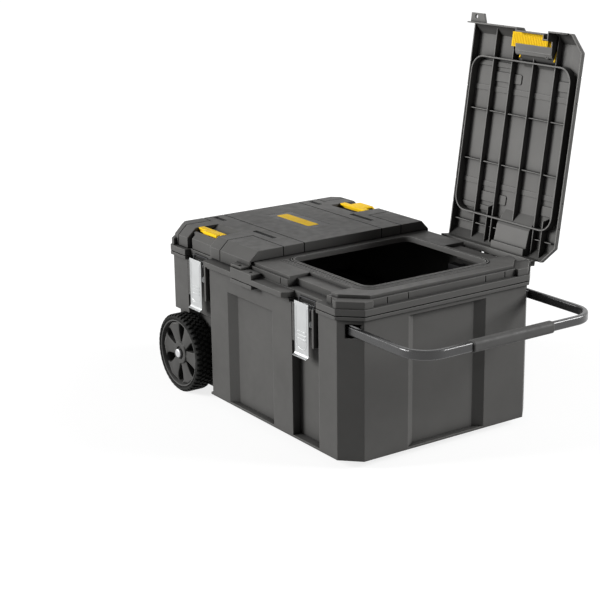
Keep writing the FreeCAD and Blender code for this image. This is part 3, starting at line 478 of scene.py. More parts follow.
class Finishes:
    """Every finish of the box, built once."""

    def __init__(self) -> None:
        """Build the materials; each lid gets its own copy of the grey whose inside is painted
        lighter as painted light, looking down on the shut lid and forward on the open one.
        """
        grey = (0.094, 0.0925, 0.0895)
        # Painted light: the way in which each lid's inside faces are made lighter.
        inside = {Side.LEFT: (0.0, 0.0, -1.0), Side.RIGHT: (0.0, -0.99, 0.139)}
        across = (0.06, 1.0, 1.0)
        self.shell = MouldedPlastic("grained_grey_shell", grey).material()
        self.lit_lid_copies = {
            side: MouldedPlastic(f"{side.label}_lid_grey", grey, lit_side_way=way).material()
            for side, way in inside.items()}
        # Painted highlight: the beads are a lighter copy of the shell grey, with painted shade
        # between them.
        self.bead = MouldedPlastic(
            "bead_grey_painted_highlight", (0.16, 0.158, 0.153), roughness=0.45, crevice_shade=0.3,
            hollow_shade=0.7).material()
        self.hub = MouldedPlastic("hub_grey", (0.07, 0.069, 0.067), roughness=0.46).material()
        self.label = MouldedPlastic(
            "smooth_label_plate", (0.08, 0.079, 0.078), roughness=0.38,
            relief=(300.0, 0.00003, 0.55)).material()
        self.clip = MouldedPlastic(
            "yellow_clip", (0.95, 0.6, 0.018), roughness=0.4, edge_highlight_gain=1.02, mottle=0.04,
            sheen=0.04, crevice=0.003, crevice_shade=0.85, hollow=0.01,
            hollow_shade=0.9).material()
        self.guide = MouldedPlastic("black_guide", (0.02, 0.02, 0.021)).material()
        self.steel = PressedSteel("galvanised_latch", (0.53, 0.54, 0.54)).material()
        self.zinc = PressedSteel(
            "zinc_pin", (0.6, 0.6, 0.61), roughness=0.4, stretch=across).material()
        self.wire = PressedSteel(
            "dark_bail_wire", (0.05, 0.05, 0.052), roughness=0.45, stretch=across).material()
        # Black rubber of the seals, also laid as thin sheets of painted shade in grooves and
        # between beads.
        self.seal = SoftRubber("black_seal", (0.012, 0.012, 0.012)).material()
        self.tyre = SoftRubber(
            "treaded_tyre", (0.018, 0.018, 0.0176), dust=(0.03, 0.03, 0.0285)).material()
        self.grip = SoftRubber(
            "grey_grip", (0.068, 0.067, 0.0655), dust=(0.08, 0.079, 0.077), roughness=0.6,
            sheen=0.25).material()
        self.tube = GlossPaint(
            "black_handle_tube", (0.011, 0.011, 0.0115), roughness=0.26).material()


def about(mid: float, half: float) -> Range:
    """Range that reaches equally far to both sides of its middle."""
    return mid - half, mid + half


def polar(r: float, a: float, y: float) -> Point:
    """Point at a radius and an angle round an axle along Y."""
    return r * math.cos(a), y, r * math.sin(a)


def rounded(x: Range, y: Range, r: float, steps: int = 5) -> Flat:
    """Outline of a rectangle with round corners.

    Args:
        x: Its sides.
        y: Its ends.
        r: Corner radius.
        steps: Edges in each corner.

    Returns:
        Its points, anticlockwise.
    """
    (x0, x1), (y0, y1) = x, y
    middles = ((x1 - r, y0 + r), (x1 - r, y1 - r), (x0 + r, y1 - r), (x0 + r, y0 + r))
    points = []
    for (cx, cy), start in zip(middles, (-90, 0, 90, 180)):
        for i in range(steps + 1):
            a = math.radians(start + 90 * i / steps)
            points.append((cx + r * math.cos(a), cy + r * math.sin(a)))
    return points


class Form:
    """A mesh under construction, drawn in millimetres."""

    def __init__(self, place: Place) -> None:
        """Start an empty mesh.

        Args:
            place: Gives a drawn point's place on the box, in millimetres.
        """
        self.mesh = bmesh.new()
        self.place = place

    def skin(self, rows: list[list[Point]], around: bool = False) -> None:
        """Cover a run of rows of points, each of which closes on itself.

        Args:
            rows: Rows with equally many points.
            around: Whether the last row joins the first; if not, both ends are filled.
        """
        made = [[self.mesh.verts.new(self.place(*p) * MM) for p in row] for row in rows]
        pairs = list(zip(made, made[1:]))
        if around:
            pairs.append((made[-1], made[0]))
        count = len(rows[0])
        for a, b in pairs:
            for i in range(count):
                j = (i + 1) % count
                self.mesh.faces.new((a[i], a[j], b[j], b[i]))
        if not around:
            self.mesh.faces.new(made[0][::-1])
            self.mesh.faces.new(made[-1])

    def pad(self, x: Range, y: Range, z: Range, r: float, edge: float) -> None:
        """Add a rounded pad whose far face has a bevelled edge.

        Args:
            x: Its sides.
            y: Its ends.
            z: Height that it stands on, and height of its far face.
            r: Corner radius.
            edge: Width of the bevel.
        """
        root, far = z
        down = edge if far > root else -edge
        wide = rounded(x, y, r)
        slim = rounded((x[0] + edge, x[1] - edge), (y[0] + edge, y[1] - edge), r - edge)
        rows = ((wide, root), (wide, far - down), (slim, far))
        self.skin([[(*point, height) for point in line] for line, height in rows])

    def slab(self, profile: Flat, x: Range, edge: float) -> None:
        """Add a slab across X whose sides are bevelled towards the middle of its outline.

        Args:
            profile: Its (y, z) outline.
            x: Its sides.
            edge: Width of the bevel.
        """
        cy = sum(y for y, _ in profile) / len(profile)
        cz = sum(z for _, z in profile) / len(profile)
        slim = []
        for y, z in profile:
            reach = math.hypot(y - cy, z - cz)
            slim.append((y - (y - cy) * edge / reach, z - (z - cz) * edge / reach))
        rows = ((slim, x[0]), (profile, x[0] + edge), (profile, x[1] - edge), (slim, x[1]))
        self.skin([[(side, y, z) for y, z in line] for line, side in rows])

    def sweep(self, path: Flat, section: Flat, closed: bool) -> None:
        """Run a section along a level path.

        Args:
            path: (x, y) points, anticlockwise for a loop.
            section: (outward offset, z) outline.
            closed: Whether the path is a loop.
        """
        count = len(path)
        rows = []
        for i, (x, y) in enumerate(path):
            ax, ay = path[i - 1] if closed or i else path[0]
            bx, by = path[(i + 1) % count] if closed or i < count - 1 else path[-1]
            length = math.hypot(bx - ax, by - ay)
            nx, ny = (by - ay) / length, (ax - bx) / length
            rows.append([(x + nx * d, y + ny * d, z) for d, z in section])
        self.skin(rows, around=closed)

    def turn(self, section: Flat, steps: int) -> None:
        """Turn a section round an axle along Y.

        Args:
            section: (radius, y) outline.
            steps: Facets round.
        """
        turns = [2 * math.pi * i / steps for i in range(steps)]
        self.skin([[polar(r, a, y) for r, y in section] for a in turns], around=True)

    def done(self, name: str, finish: Material, body: str, slot: str) -> bpy.types.Object:
        """Turn the mesh into a piece of the box.

        Args:
            name: Name of the piece.
            finish: Its material.
            body: Body that it rides on.
            slot: Slot of the record that its finish comes from; not used.

        Returns:
            The piece.
        """
        bmesh.ops.recalc_face_normals(self.mesh, faces=self.mesh.faces[:])
        mesh = bpy.data.meshes.new(name)
        self.mesh.to_mesh(mesh)
        self.mesh.free()
        mesh.polygons.foreach_set("use_smooth", [True] * len(mesh.polygons))
        mesh.set_sharp_from_angle(angle=SHARP_EDGE)
        mesh.materials.append(finish)
        piece = bpy.data.objects.new(name, mesh)
        bpy.context.collection.objects.link(piece)
        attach(piece, body)
        LOG.info("made %s", name)
        return piece


def dress(material: Material, *nodes: str) -> None:
    """Give CAD nodes their finish.

    Args:
        material: The finish.
        nodes: Names of the nodes.
    """
    for node in nodes:
        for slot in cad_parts[node].material_slots:
            slot.material = material


@dataclass
class Tub:
    """The moulded tub with what is fixed to it."""

    finishes: Finishes
    shell_nodes: tuple[str, ...] = ("tub_shell", "front_runner", "rear_runner", "cross_runner")
    guide_nodes: tuple[str, ...] = ("front_handle_sleeve", "rear_handle_sleeve")
    zinc_nodes: tuple[str, ...] = (
        "axle", "axle_washers", "front_axle_cap", "rear_axle_cap", "deck_hinge_pins",
        "left_latch_pin", "right_latch_pin")

    def build(self) -> None:
        """Dress the tub."""
        dress(self.finishes.shell, *self.shell_nodes)
        dress(self.finishes.guide, *self.guide_nodes)
        dress(self.finishes.zinc, *self.zinc_nodes)


@dataclass
class Deck:
    """The hinged frame with its two openings; sizes in millimetres.

    A bead is its distance outside the opening and its height. The shoulder and crown of its
    section are shares of its half width, and the shoulder also of its height.
    """

    finishes: Finishes
    deck_z: float = 354.0
    mouth_x: Range = (22.0, 294.0)
    mouth_half_y: float = 158.0
    mouth_corner: float = 22.0
    corner_steps: int = 8
    gasket_w: float = 9.4
    gasket_t: float = 1.0
    gasket_edge: float = 0.3
    # Black inlay laid between the beads as painted shade
    shade_inlay_w: Range = (9.0, 23.2)
    shade_inlay_t: float = 0.3
    shade_inlay_root: float = 0.2
    loop_beads: Flat = ((0.9, 1.7), (6.2, 1.6))
    run_beads: Flat = ((11.4, 0.9), (16.6, 0.9), (21.8, 0.9))
    run_end_y: float = 138.0
    bead_half: float = 0.9
    bead_shoulder: Range = (0.8, 0.85)
    bead_crown: float = 0.5

    def build(self) -> None:
        """Dress the deck and add its gaskets, each with a black inlay of painted shade, and its
        sealing beads.
        """
        dress(self.finishes.shell, "deck_frame")
        dress(self.finishes.seal, "rim_seal")
        for side in Side:
            dress(self.finishes.seal, f"{side.label}_opening_seal")
            dress(self.finishes.zinc, f"{side.label}_lid_hinge_pins")
            self.make_gasket(side)
            self.make_beads(side)

    @staticmethod
    def on_half(side: Side) -> Form:
        """Start a mesh that is drawn for the right opening and placed at either."""
        return Form(lambda x, y, z: Vector((x * side.value, y, z)))

    def mouth(self, grow: float) -> Flat:
        """Outline of the right opening moved outward.

        Args:
            grow: How far outward.

        Returns:
            Its points.
        """
        half = self.mouth_half_y + grow
        sides = (self.mouth_x[0] - grow, self.mouth_x[1] + grow)
        return rounded(sides, (-half, half), self.mouth_corner + grow, self.corner_steps)

    def run(self, grow: float) -> Flat:
        """Path along the front and outer side of the right opening.

        Args:
            grow: How far outside the opening.

        Returns:
            Its points.
        """
        corner = self.mouth(grow)[:self.corner_steps + 1]
        return [(self.mouth_x[0], -self.mouth_half_y - grow), *corner,
                (self.mouth_x[1] + grow, self.run_end_y)]

    def make_gasket(self, side: Side) -> None:
        """Make the gasket on the edge of an opening, with a thin black inlay beside it as painted
        shade between the beads.

        Args:
            side: Which opening.
        """
        z, wide, edge = self.deck_z, self.gasket_w, self.gasket_edge
        top = z + self.gasket_t
        outline = [(0.0, z), (0.0, top - edge), (edge, top), (wide - edge, top),
                   (wide, top - edge), (wide, z)]
        near, far = self.shade_inlay_w
        low, high = z - self.shade_inlay_root, z + self.shade_inlay_t
        form = self.on_half(side)
        form.sweep(self.mouth(0.0), outline, True)
        # Painted shade: a black strip along the front and outer side, between the beads.
        form.sweep(self.run(0.0), [(near, low), (near, high), (far, high), (far, low)], False)
        gasket = form.done(f"{side.label}_ribbed_gasket", self.finishes.seal, "deck",
                           "black_rubber")
        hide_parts(f"{side.label}_opening_seal")

    def make_beads(self, side: Side) -> None:
        """Make the moulded beads that run round an opening, through and outside its gasket.

        Args:
            side: Which opening.
        """
        form = self.on_half(side)
        half, z = self.bead_half, self.deck_z
        out, up = self.bead_shoulder
        crown = half * self.bead_crown
        beads = [(self.mouth(grow), height, True) for grow, height in self.loop_beads]
        beads += [(self.run(grow), height, False) for grow, height in self.run_beads]
        for path, height, closed in beads:
            shoulder, top = z + height * up, z + height
            outline = [(-half, z), (-half * out, shoulder), (-crown, top), (crown, top),
                       (half * out, shoulder), (half, z)]
            form.sweep(path, outline, closed)
        form.done(f"{side.label}_sealing_beads", self.finishes.bead, "deck", "grey_shell")


@dataclass
class Lid:
    """One small lid with its clips; sizes in millimetres, drawn as the right lid when shut.

    Lines are (y, z) outlines, the spring legs' one from the clip's pin. A boss is its middle, the
    height of its root and that of its tip. The tip is a run of rings, each given by its change
    of radius and its distance back from the end.
    """

    side: Side
    finishes: Finishes
    hinge_y: float = 255.0
    hinge_z: float = 321.0
    open_deg: float = 98.0
    # Roof, slope and outer wall
    roof_z: float = 373.0
    top_z: float = 376.0
    slope_z: float = 356.0
    roof_x: Range = (3.0, 329.0)
    roof_y: Range = (-221.0, 217.0)
    edge_x: float = 349.0
    edge_y: Range = (-243.0, 236.0)
    # Grooves and slots, with black liners laid in them as painted shade
    groove_half: float = 1.55
    groove_depth: Range = (0.6, 2.0)
    groove_low_z: float = 350.5
    seam_low_z: float = 355.6
    liner_edge: float = 0.05
    cross_groove_y: float = 104.0
    corner_groove_y: float = 158.0
    corner_groove_x: Range = (121.0, 297.0)
    slot_y: float = 132.0
    slot_x: Flat = ((74.0, 154.0), (276.0, 318.0))
    slot_half: float = 5.95
    slot_floor_z: Range = (373.9, 374.8)
    slot_corner: float = 0.6
    slot_edge: float = 0.2
    # Pads inside the roof, behind the grooves and slots
    back_root: float = 0.3
    back_t: float = 2.2
    back_corner: float = 4.0
    back_edge: float = 0.5
    groove_back_half: float = 5.5
    groove_back_x: Flat = ((12.5, 124.0), (291.0, 316.5))
    slot_back_half: float = 10.5
    slot_back_x: Flat = ((69.0, 158.0), (271.0, 316.5))
    # Walls beside the rear clip's housing
    wall_x: Range = (120.0, 295.0)
    wall_half: float = 1.0
    wall_edge: float = 0.3
    wall_line: Flat = (
        (146.0, 373.2), (152.0, 356.2), (225.0, 356.2), (229.0, 357.7), (229.0, 360.0),
        (217.0, 372.5), (210.0, 373.2))
    # Screw bosses beside the front clip
    bosses: tuple[tuple[float, float, float, float], ...] = (
        (152.0, -190.0, 373.0, 355.5), (247.0, -189.2, 355.0, 349.8))
    boss_r: float = 4.6
    boss_flare: float = 0.6
    boss_tip: Flat = ((0.0, 0.5), (-0.5, 0.0), (-1.6, 0.0), (-1.9, 1.0), (-1.9, 3.0))
    boss_steps: int = 24
    # Front clip's spring legs, fins and pocket floor
    clip_pin: Range = (-208.0, 368.5)
    leg_x: Flat = ((155.6, 159.2), (260.8, 264.2))
    leg_line: Flat = (
        (-3.6, 0.0), (-2.0, -3.4), (12.0, -9.0), (27.5, -11.5), (29.0, -9.0), (14.0, -4.5),
        (3.4, 1.5), (0.0, 3.6))
    leg_edge: float = 0.5
    fin_x: Range = (140.0, 240.0)
    fin_step: float = 5.0
    fin_half: float = 0.9
    fin_y: Range = (-231.0, -205.0)
    fin_z: Range = (350.2, 349.4)
    fin_corner: float = 0.8
    fin_edge: float = 0.25
    floor_x: Range = (150.0, 262.0)
    floor_line: Flat = ((-187.0, 352.0), (-196.0, 348.7), (-209.5, 348.0))
    floor_t: float = 0.7
    floor_edge: float = 0.2
    # Bar on the label plate
    bar_x: Range = (118.0, 246.0)
    bar_y: Range = (-13.0, 17.0)
    bar_z: Range = (375.7, 376.0)
    bar_corner: float = 5.0
    bar_edge: float = 0.15

    def place(self, x: float, y: float, z: float) -> Vector:
        """Where a point of the shut right lid is on this lid as it stands.

        Args:
            x: Its X on the shut right lid.
            y: Its Y there.
            z: Its height there.

        Returns:
            Its place on the box.
        """
        if self.side is Side.LEFT:
            return Vector((-x, y, z))
        a = math.radians(self.open_deg)
        dy, dz = y - self.hinge_y, z - self.hinge_z
        return Vector((x, self.hinge_y + dy * math.cos(a) + dz * math.sin(a),
                       self.hinge_z - dy * math.sin(a) + dz * math.cos(a)))

    def add_moulding(self, form: Form, name: str) -> None:
        """Finish a piece that is moulded into the lid.

        Args:
            form: Its mesh.
            name: Its name without the side.
        """
        side = self.side.label
        form.done(f"{side}_{name}", self.finishes.lit_lid_copies[self.side], f"{side}_lid", "grey_shell")

    def over_slope(self, roof_end: float, edge: float) -> Flat:
        """Part of a painted-shade liner's outline that runs over the slope and down the outer wall.

        Args:
            roof_end: Where the roof meets the slope.
            edge: Where the slope meets the wall.

        Returns:
            Its (along, z) points.
        """
        way = 1.0 if edge > roof_end else -1.0
        near, far = self.groove_depth
        slope, low = self.slope_z - near, self.groove_low_z
        return [(roof_end - way * near, self.top_z - near), (edge - way * near, slope),
                (edge - way * near, low), (edge - way * far, low), (edge - way * far, slope),
                (roof_end - way * far, self.top_z - far)]

    def liner(self, start: float, end: Flat, wall: bool = False) -> Flat:
        """Outline of the black liner laid in a groove as painted shade.

        Args:
            start: Where it starts on the roof.
            end: Points round its other end.
            wall: Whether it also runs down the seam's wall at its start.

        Returns:
            Its (along, z) points.
        """
        near, far = self.groove_depth
        high, deep, low = self.top_z - near, self.top_z - far, self.seam_low_z
        if not wall:
            return [(start, high), *end, (start, deep)]
        return [(start + near, low), (start + near, high), *end, (start + far, deep),
                (start + far, low)]

    def make_shade_liners(self) -> None:
        """Make the black liners laid in the lid's grooves and slots as painted shade."""
        form = Form(self.place)
        half, edge = self.groove_half, self.liner_edge
        for end, roof_end, edge_y in zip(End, self.roof_y, self.edge_y):
            line = self.liner(end.value * self.corner_groove_y, self.over_slope(roof_end, edge_y))
            for x in self.corner_groove_x:
                form.slab(line, about(x, half), edge)
            slot_y = about(end.value * self.slot_y, self.slot_half)
            for slot_x in self.slot_x:
                form.pad(slot_x, slot_y, self.slot_floor_z, self.slot_corner, self.slot_edge)
        form.place = lambda y, x, z: self.place(x, y, z)
        seam, first, last = self.roof_x[0], *self.corner_groove_x
        slope = self.over_slope(self.roof_x[1], self.edge_x)
        stop = [(first + half, self.top_z - depth) for depth in self.groove_depth]
        lines = ((self.cross_groove_y, self.liner(seam, slope, True)),
                 (self.corner_groove_y, self.liner(last, slope)),
                 (self.corner_groove_y, self.liner(seam, stop, True)))
        for end in End:
            for y, line in lines:
                form.slab(line, about(end.value * y, half), edge)
        form.done(f"{self.side.label}_groove_liners", self.finishes.seal,
                  f"{self.side.label}_lid", "black_rubber")

    def make_backs(self) -> None:
        """Make the thickened pads inside the roof, behind its grooves and slots."""
        form = Form(self.place)
        z = (self.roof_z + self.back_root, self.roof_z - self.back_t)
        backs = ((self.groove_back_x, self.corner_groove_y, self.groove_back_half),
                 (self.slot_back_x, self.slot_y, self.slot_back_half))
        for end in End:
            for ranges, mid, half in backs:
                for x in ranges:
                    form.pad(x, about(end.value * mid, half), z, self.back_corner,
                             self.back_edge)
        self.add_moulding(form, "lid_backs")

    def make_walls(self) -> None:
        """Make the two stiffening walls beside the rear clip's housing."""
        form = Form(self.place)
        for x in self.wall_x:
            form.slab(self.wall_line, about(x, self.wall_half), self.wall_edge)
        self.add_moulding(form, "housing_walls")

    def make_bosses(self) -> None:
        """Make the open screw bosses beside the front clip."""
        form = Form(self.place)
        turns = [2 * math.pi * i / self.boss_steps for i in range(self.boss_steps)]
        for cx, cy, root, tip in self.bosses:
            way = 1.0 if tip > root else -1.0
            rings = [(self.boss_r + self.boss_flare, root)]
            rings += [(self.boss_r + grow, tip - way * back) for grow, back in self.boss_tip]
            form.skin([[(cx + r * math.cos(a), cy + r * math.sin(a), z) for a in turns]
                       for r, z in rings])
        self.add_moulding(form, "clip_bosses")

    def make_clip_parts(self) -> None:
        """Make the front clip's spring legs and the fine fins under its hook."""
        form = Form(self.place)
        y, z = self.clip_pin
        leg = [(y + dy, z + dz) for dy, dz in self.leg_line]
        for x in self.leg_x:
            form.slab(leg, x, self.leg_edge)
        first, last = self.fin_x
        for i in range(int((last - first) / self.fin_step) + 1):
            x = about(first + i * self.fin_step, self.fin_half)
            form.pad(x, self.fin_y, self.fin_z, self.fin_corner, self.fin_edge)
        form.done(f"{self.side.label}_front_clip_fins", self.finishes.clip,
                  f"{self.side.label}_front_clip", "yellow_plastic")

    def make_pocket_floor(self) -> None:
        """Make the bent plate that closes the front clip's finger pocket from below."""
        form = Form(self.place)
        under = [(y, z - self.floor_t) for y, z in reversed(self.floor_line)]
        form.slab([*self.floor_line, *under], self.floor_x, self.floor_edge)
        self.add_moulding(form, "pocket_floor")

    def make_bar(self) -> None:
        """Make the plain yellow bar inlaid in the label plate."""
        form = Form(self.place)
        form.pad(self.bar_x, self.bar_y, self.bar_z, self.bar_corner, self.bar_edge)
        form.done(f"{self.side.label}_label_bar", self.finishes.clip, f"{self.side.label}_lid",
                  "yellow_plastic")

    def build(self) -> None:
        """Dress the lid and add its painted-shade liners, inner mouldings, clip parts and label
        bar.
        """
        name = self.side.label
        self.make_shade_liners()
        self.make_backs()
        self.make_walls()
        self.make_bosses()
        self.make_clip_parts()
        self.make_pocket_floor()
        self.make_bar()
        dress(self.finishes.lit_lid_copies[self.side], f"{name}_lid_shell")
        dress(self.finishes.label, f"{name}_label_plate")
        dress(self.finishes.zinc, f"{name}_clip_pins")
        dress(self.finishes.clip, *(f"{name}_{end.label}_clip" for end in End))


@dataclass
class Latch:
    """One draw latch: base, lever plate and wire bail; sizes in millimetres."""

    side: Side
    finishes: Finishes
    mid_x: float = 205.0
    plate_y: float = -256.5
    outline_half: float = 17.5
    outline_z: Range = (222.0, 311.0)
    outline_corner: float = 13.0
    corner_steps: int = 6
    side_bead_x: float = 22.3
    side_bead_z: Range = (216.0, 316.0)
    bead_half: float = 0.9
    bead_h: float = 0.7
    bead_root: float = 0.3
    bead_shoulder: float = 0.7

    def make_pressings(self) -> None:
        """Make the pressed outline and side beads on the face of the lever plate."""
        mid = self.mid_x * self.side.value
        form = Form(lambda x, z, h: Vector((mid + x, self.plate_y - h, z)))
        half, low = self.bead_half, -self.bead_root
        out, up = half * self.bead_shoulder, self.bead_h * self.bead_shoulder
        section = [(-half, low), (-out, up), (0.0, self.bead_h), (out, up), (half, low)]
        wide, high = self.outline_half, self.outline_z[1]
        loop = rounded((-wide, wide), self.outline_z, self.outline_corner, self.corner_steps)
        turns = self.corner_steps + 1
        path = [(-wide, high), *loop[-turns:], *loop[:turns], (wide, high)]
        form.sweep(path, section, False)
        for x in (-self.side_bead_x, self.side_bead_x):
            form.sweep([(x, z) for z in self.side_bead_z], section, False)
        form.done(f"{self.side.label}_lever_pressings", self.finishes.steel,
                  f"{self.side.label}_lever", "bright_steel")

    def build(self) -> None:
        """Dress the latch and press its lever plate."""
        name = self.side.label
        self.make_pressings()
        dress(self.finishes.steel, f"{name}_latch_base", f"{name}_latch_lever")
        dress(self.finishes.wire, f"{name}_latch_bail")


@dataclass
class Wheel:
    """One wheel: spoked hub, bush and treaded tyre; sizes in millimetres.

    Sections are radius and depth from the outer face, and a spoke's edge is radius and half
    angle. The flank of a spoke is its start as a share of the half width, and its drop. A row of
    lugs is its shift and slant in pitches, and its crown as depth and radius.
    """

    end: End
    finishes: Finishes
    axle_x: float = -268.0
    axle_z: float = 90.0
    face_y: float = 273.5
    rim: Flat = (
        (77.8, 3.2), (77.0, 1.8), (75.2, 1.4), (73.8, 2.4), (70.6, 12.0), (70.0, 19.0),
        (72.0, 44.0), (77.8, 45.0))
    rim_steps: int = 96
    boss: Flat = (
        (9.2, 7.2), (13.5, 9.0), (14.6, 6.4), (15.6, 5.6), (23.6, 5.6), (25.0, 6.6),
        (26.6, 12.0), (26.6, 38.0), (9.2, 38.0))
    boss_steps: int = 48
    spokes: int = 6
    spoke_turn: float = 55.0
    spoke_edge: Flat = ((22.0, 29.0), (36.0, 21.5), (52.0, 18.5), (64.0, 19.5), (71.5, 25.0))
    spoke_depth: Range = (9.5, 30.0)
    spoke_crown: float = 2.2
    spoke_flank: Range = (0.93, 1.2)
    carcass: Flat = (
        (78.0, 3.4), (78.6, 1.4), (79.6, 1.0), (80.4, 1.8), (81.2, 1.0), (83.2, 0.7),
        (84.8, 1.4), (85.6, 4.0), (85.6, 44.0), (84.8, 46.6), (82.0, 47.6), (79.0, 47.0),
        (78.0, 44.8))
    carcass_steps: int = 96
    lugs: int = 44
    lug_share: float = 0.6
    lug_top_share: float = 0.84
    lug_base_r: float = 82.0
    slant_depth: float = 8.0
    lug_rows: tuple[tuple[float, float, Flat], ...] = (
        (0.0, 0.0, ((0.8, 83.4), (2.4, 87.2), (4.6, 89.4), (6.6, 89.9), (12.6, 89.9))),
        (0.5, 0.16, ((14.4, 89.9), (23.2, 89.9))),
        (0.0, -0.16, ((24.8, 89.9), (33.6, 89.9))),
        (0.5, 0.0, ((35.4, 89.9), (41.4, 89.9), (43.4, 89.4), (45.6, 87.2), (47.2, 83.4))))

    def place(self, x: float, depth: float, z: float) -> Vector:
        """Where a point drawn round the axle at a depth from the outer face is on the box."""
        y = self.end.value * (self.face_y - depth)
        return Vector((self.axle_x + x, y, self.axle_z + z))

    def make_hub(self) -> None:
        """Make the spoked hub with its rim and boss."""
        form = Form(self.place)
        form.turn(self.rim, self.rim_steps)
        form.turn(self.boss, self.boss_steps)
        near, far = self.spoke_depth
        flank, drop = self.spoke_flank
        section = [(-1.0, far), (-1.0, near + drop), (-flank, near), (0.0, near - self.spoke_crown),
                   (flank, near), (1.0, near + drop), (1.0, far)]
        for i in range(self.spokes):
            mid = math.radians(self.spoke_turn + 360 * i / self.spokes)
            form.skin([[polar(r, mid + math.radians(half * share), depth)
                        for share, depth in section] for r, half in self.spoke_edge])
        hub = form.done(f"{self.end.label}_spoked_hub", self.finishes.hub,
                        f"{self.end.label}_wheel", "hub_plastic")
        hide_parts(f"{self.end.label}_wheel_hub")

    def make_tyre(self) -> None:
        """Make the tyre with its rows of lugs."""
        form = Form(self.place)
        form.turn(self.carcass, self.carcass_steps)
        pitch = 2 * math.pi / self.lugs
        wide = pitch * self.lug_share / 2
        base, top = self.lug_base_r, self.lug_top_share
        for shift, slant, crown in self.lug_rows:
            mid_depth = (crown[0][0] + crown[-1][0]) / 2
            for i in range(self.lugs):
                rows = []
                for depth, r in crown:
                    mid = pitch * (i + shift + slant * (depth - mid_depth) / self.slant_depth)
                    outline = ((-1.0, base), (-top, r), (top, r), (1.0, base))
                    rows.append([polar(reach, mid + share * wide, depth)
                                 for share, reach in outline])
                form.skin(rows)
        tyre = form.done(f"{self.end.label}_lugged_tyre", self.finishes.tyre,
                         f"{self.end.label}_wheel", "tyre_rubber")
        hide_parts(f"{self.end.label}_wheel_tyre")

    def build(self) -> None:
        """Make the hub and tyre, and dress the bush."""
        self.make_hub()
        self.make_tyre()
        dress(self.finishes.guide, f"{self.end.label}_wheel_bush")


@dataclass
class Handle:
    """The pull-out handle."""

    finishes: Finishes

    def build(self) -> None:
        """Dress the handle."""
        dress(self.finishes.tube, "handle_tube")
        dress(self.finishes.grip, "handle_grip")
        dress(self.finishes.guide, "handle_plugs")


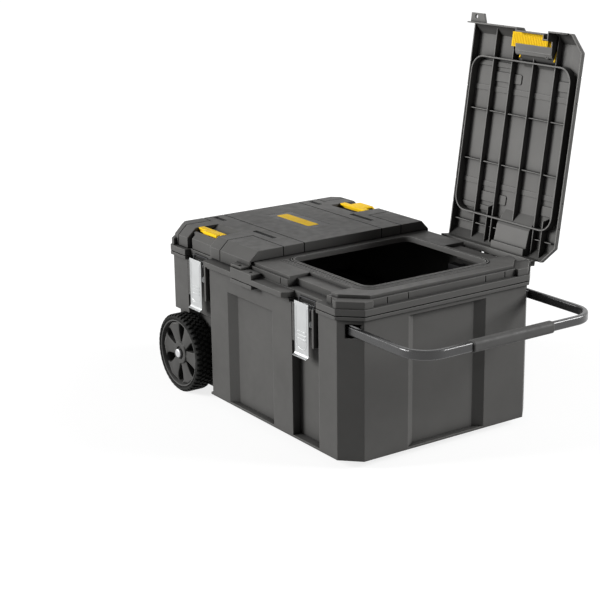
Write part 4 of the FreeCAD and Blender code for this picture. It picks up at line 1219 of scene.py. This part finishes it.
@dataclass
class Studio:
    """Pale floor, soft lamps and the camera at the photographed angle; sizes in metres.

    A lamp is its name, place, target, side and watts.
    """

    floor_size: float = 30.0
    floor_grey: float = 0.28
    floor_glow: float = 0.8
    floor_fade: Range = (0.6, 2.6)
    ambient: float = 0.115
    camera_place: Point = (2.59064, -1.88959, 1.18428)
    camera_yaw: float = 0.9712
    camera_pitch: float = 0.2889
    camera_roll: float = -0.0132
    camera_lens: float = 91.43
    sensor_width: float = 36.0
    lamps: tuple[tuple[str, Point, Point, float, float], ...] = (
        ("front_softbox", (-2.9, -5.3, 2.7), (0.0, 0.0, 0.3), 2.6, 505.0),
        ("rear_softbox", (3.8, 4.5, 2.9), (0.2, 0.0, 0.3), 2.8, 470.0))

    def build(self) -> None:
        """Make the floor, world, lamps and camera."""
        self.make_floor()
        self.make_world()
        for name, place, target, size, power in self.lamps:
            self.make_lamp(name, Vector(place), Vector(target), size, power)
        self.make_camera()
        bpy.context.scene.view_settings.view_transform = "Standard"

    def make_floor(self) -> None:
        """Lay the floor."""
        half = self.floor_size / 2
        mesh = bpy.data.meshes.new("studio_floor")
        corners = [(-half, -half, 0), (half, -half, 0), (half, half, 0), (-half, half, 0)]
        mesh.from_pydata(corners, [], [(0, 1, 2, 3)])
        mesh.materials.append(self.floor_paint())
        floor = bpy.data.objects.new("studio_floor", mesh)
        bpy.context.collection.objects.link(floor)

    def floor_paint(self) -> Material:
        """Build the floor's paint, which looks white but for the box's soft shadow.

        Returns:
            The paint.
        """
        bench = ShaderBench("pale_floor")
        bench.tree.nodes.remove(bench.shader)
        paint = bench.add("BsdfDiffuse", Color=(*[self.floor_grey] * 3, 1.0))
        glow = bench.add("Emission", Color=WHITE)
        place = bench.add("TexCoord")
        away = bench.add("VectorMath", operation="LENGTH")
        bench.join(place, "Object", away, "Vector")
        fade = bench.span(away, "Value", (self.floor_glow, 1.0), self.floor_fade)
        level = bench.add("Math", operation="MULTIPLY")
        bench.tree.links.new(seen_rays(bench.tree), level.inputs[0])
        bench.tree.links.new(fade.outputs["Result"], level.inputs[1])
        bench.join(level, "Value", glow, "Strength")
        both = bench.add("AddShader")
        bench.tree.links.new(paint.outputs["BSDF"], both.inputs[0])
        bench.tree.links.new(glow.outputs["Emission"], both.inputs[1])
        bench.join(both, "Shader", bench.output, "Surface")
        return bench.material

    def make_world(self) -> None:
        """Light the scene softly from all around and show white behind the box."""
        world = bpy.data.worlds.new("studio_world")
        bpy.context.scene.world = world
        world.use_nodes = True
        tree = world.node_tree
        sky = tree.nodes["Background"]
        sky.inputs["Color"].default_value = WHITE
        pick = tree.nodes.new("ShaderNodeMix")
        pick.inputs["A"].default_value = self.ambient
        pick.inputs["B"].default_value = 1.0
        tree.links.new(seen_rays(tree), pick.inputs["Factor"])
        tree.links.new(pick.outputs["Result"], sky.inputs["Strength"])

    @staticmethod
    def make_lamp(name: str, place: Vector, target: Vector, size: float, power: float) -> None:
        """Hang one square softbox.

        Args:
            name: Name of the lamp.
            place: Where it hangs.
            target: What it points at.
            size: Side of its face in metres.
            power: Watts.
        """
        lamp = bpy.data.lights.new(name, "AREA")
        lamp.size = size
        lamp.energy = power
        holder = bpy.data.objects.new(name, lamp)
        holder.location = place
        holder.rotation_euler = (target - place).to_track_quat("-Z", "Y").to_euler()
        bpy.context.collection.objects.link(holder)

    def make_camera(self) -> None:
        """Place the camera where the photograph was taken from."""
        yaw, pitch, roll = self.camera_yaw, self.camera_pitch, self.camera_roll
        back = Vector((math.sin(yaw) * math.cos(pitch), -math.cos(yaw) * math.cos(pitch),
                       math.sin(pitch)))
        level = Vector((math.cos(yaw), math.sin(yaw), 0.0))
        rise = back.cross(level)
        right = math.cos(roll) * level + math.sin(roll) * rise
        up = -math.sin(roll) * level + math.cos(roll) * rise
        lens = bpy.data.cameras.new("photo_camera")
        lens.lens = self.camera_lens
        lens.sensor_width = self.sensor_width
        camera = bpy.data.objects.new("photo_camera", lens)
        facing = Matrix((right, up, back)).transposed().to_4x4()
        camera.matrix_world = Matrix.Translation(self.camera_place) @ facing
        bpy.context.collection.objects.link(camera)
        bpy.context.scene.camera = camera


def main() -> None:
    """Dress the box and set the studio, logging each piece."""
    logging.basicConfig(level=logging.INFO, format="%(message)s")
    finishes = Finishes()
    pieces = [Tub(finishes), Deck(finishes)]
    pieces += [Lid(side, finishes) for side in Side]
    pieces += [Latch(side, finishes) for side in Side]
    pieces += [Wheel(end, finishes) for end in End]
    pieces += [Handle(finishes), Studio()]
    for piece in pieces:
        piece.build()
        LOG.info("built %s", type(piece).__name__)


if __name__ == "__main__":
    main()
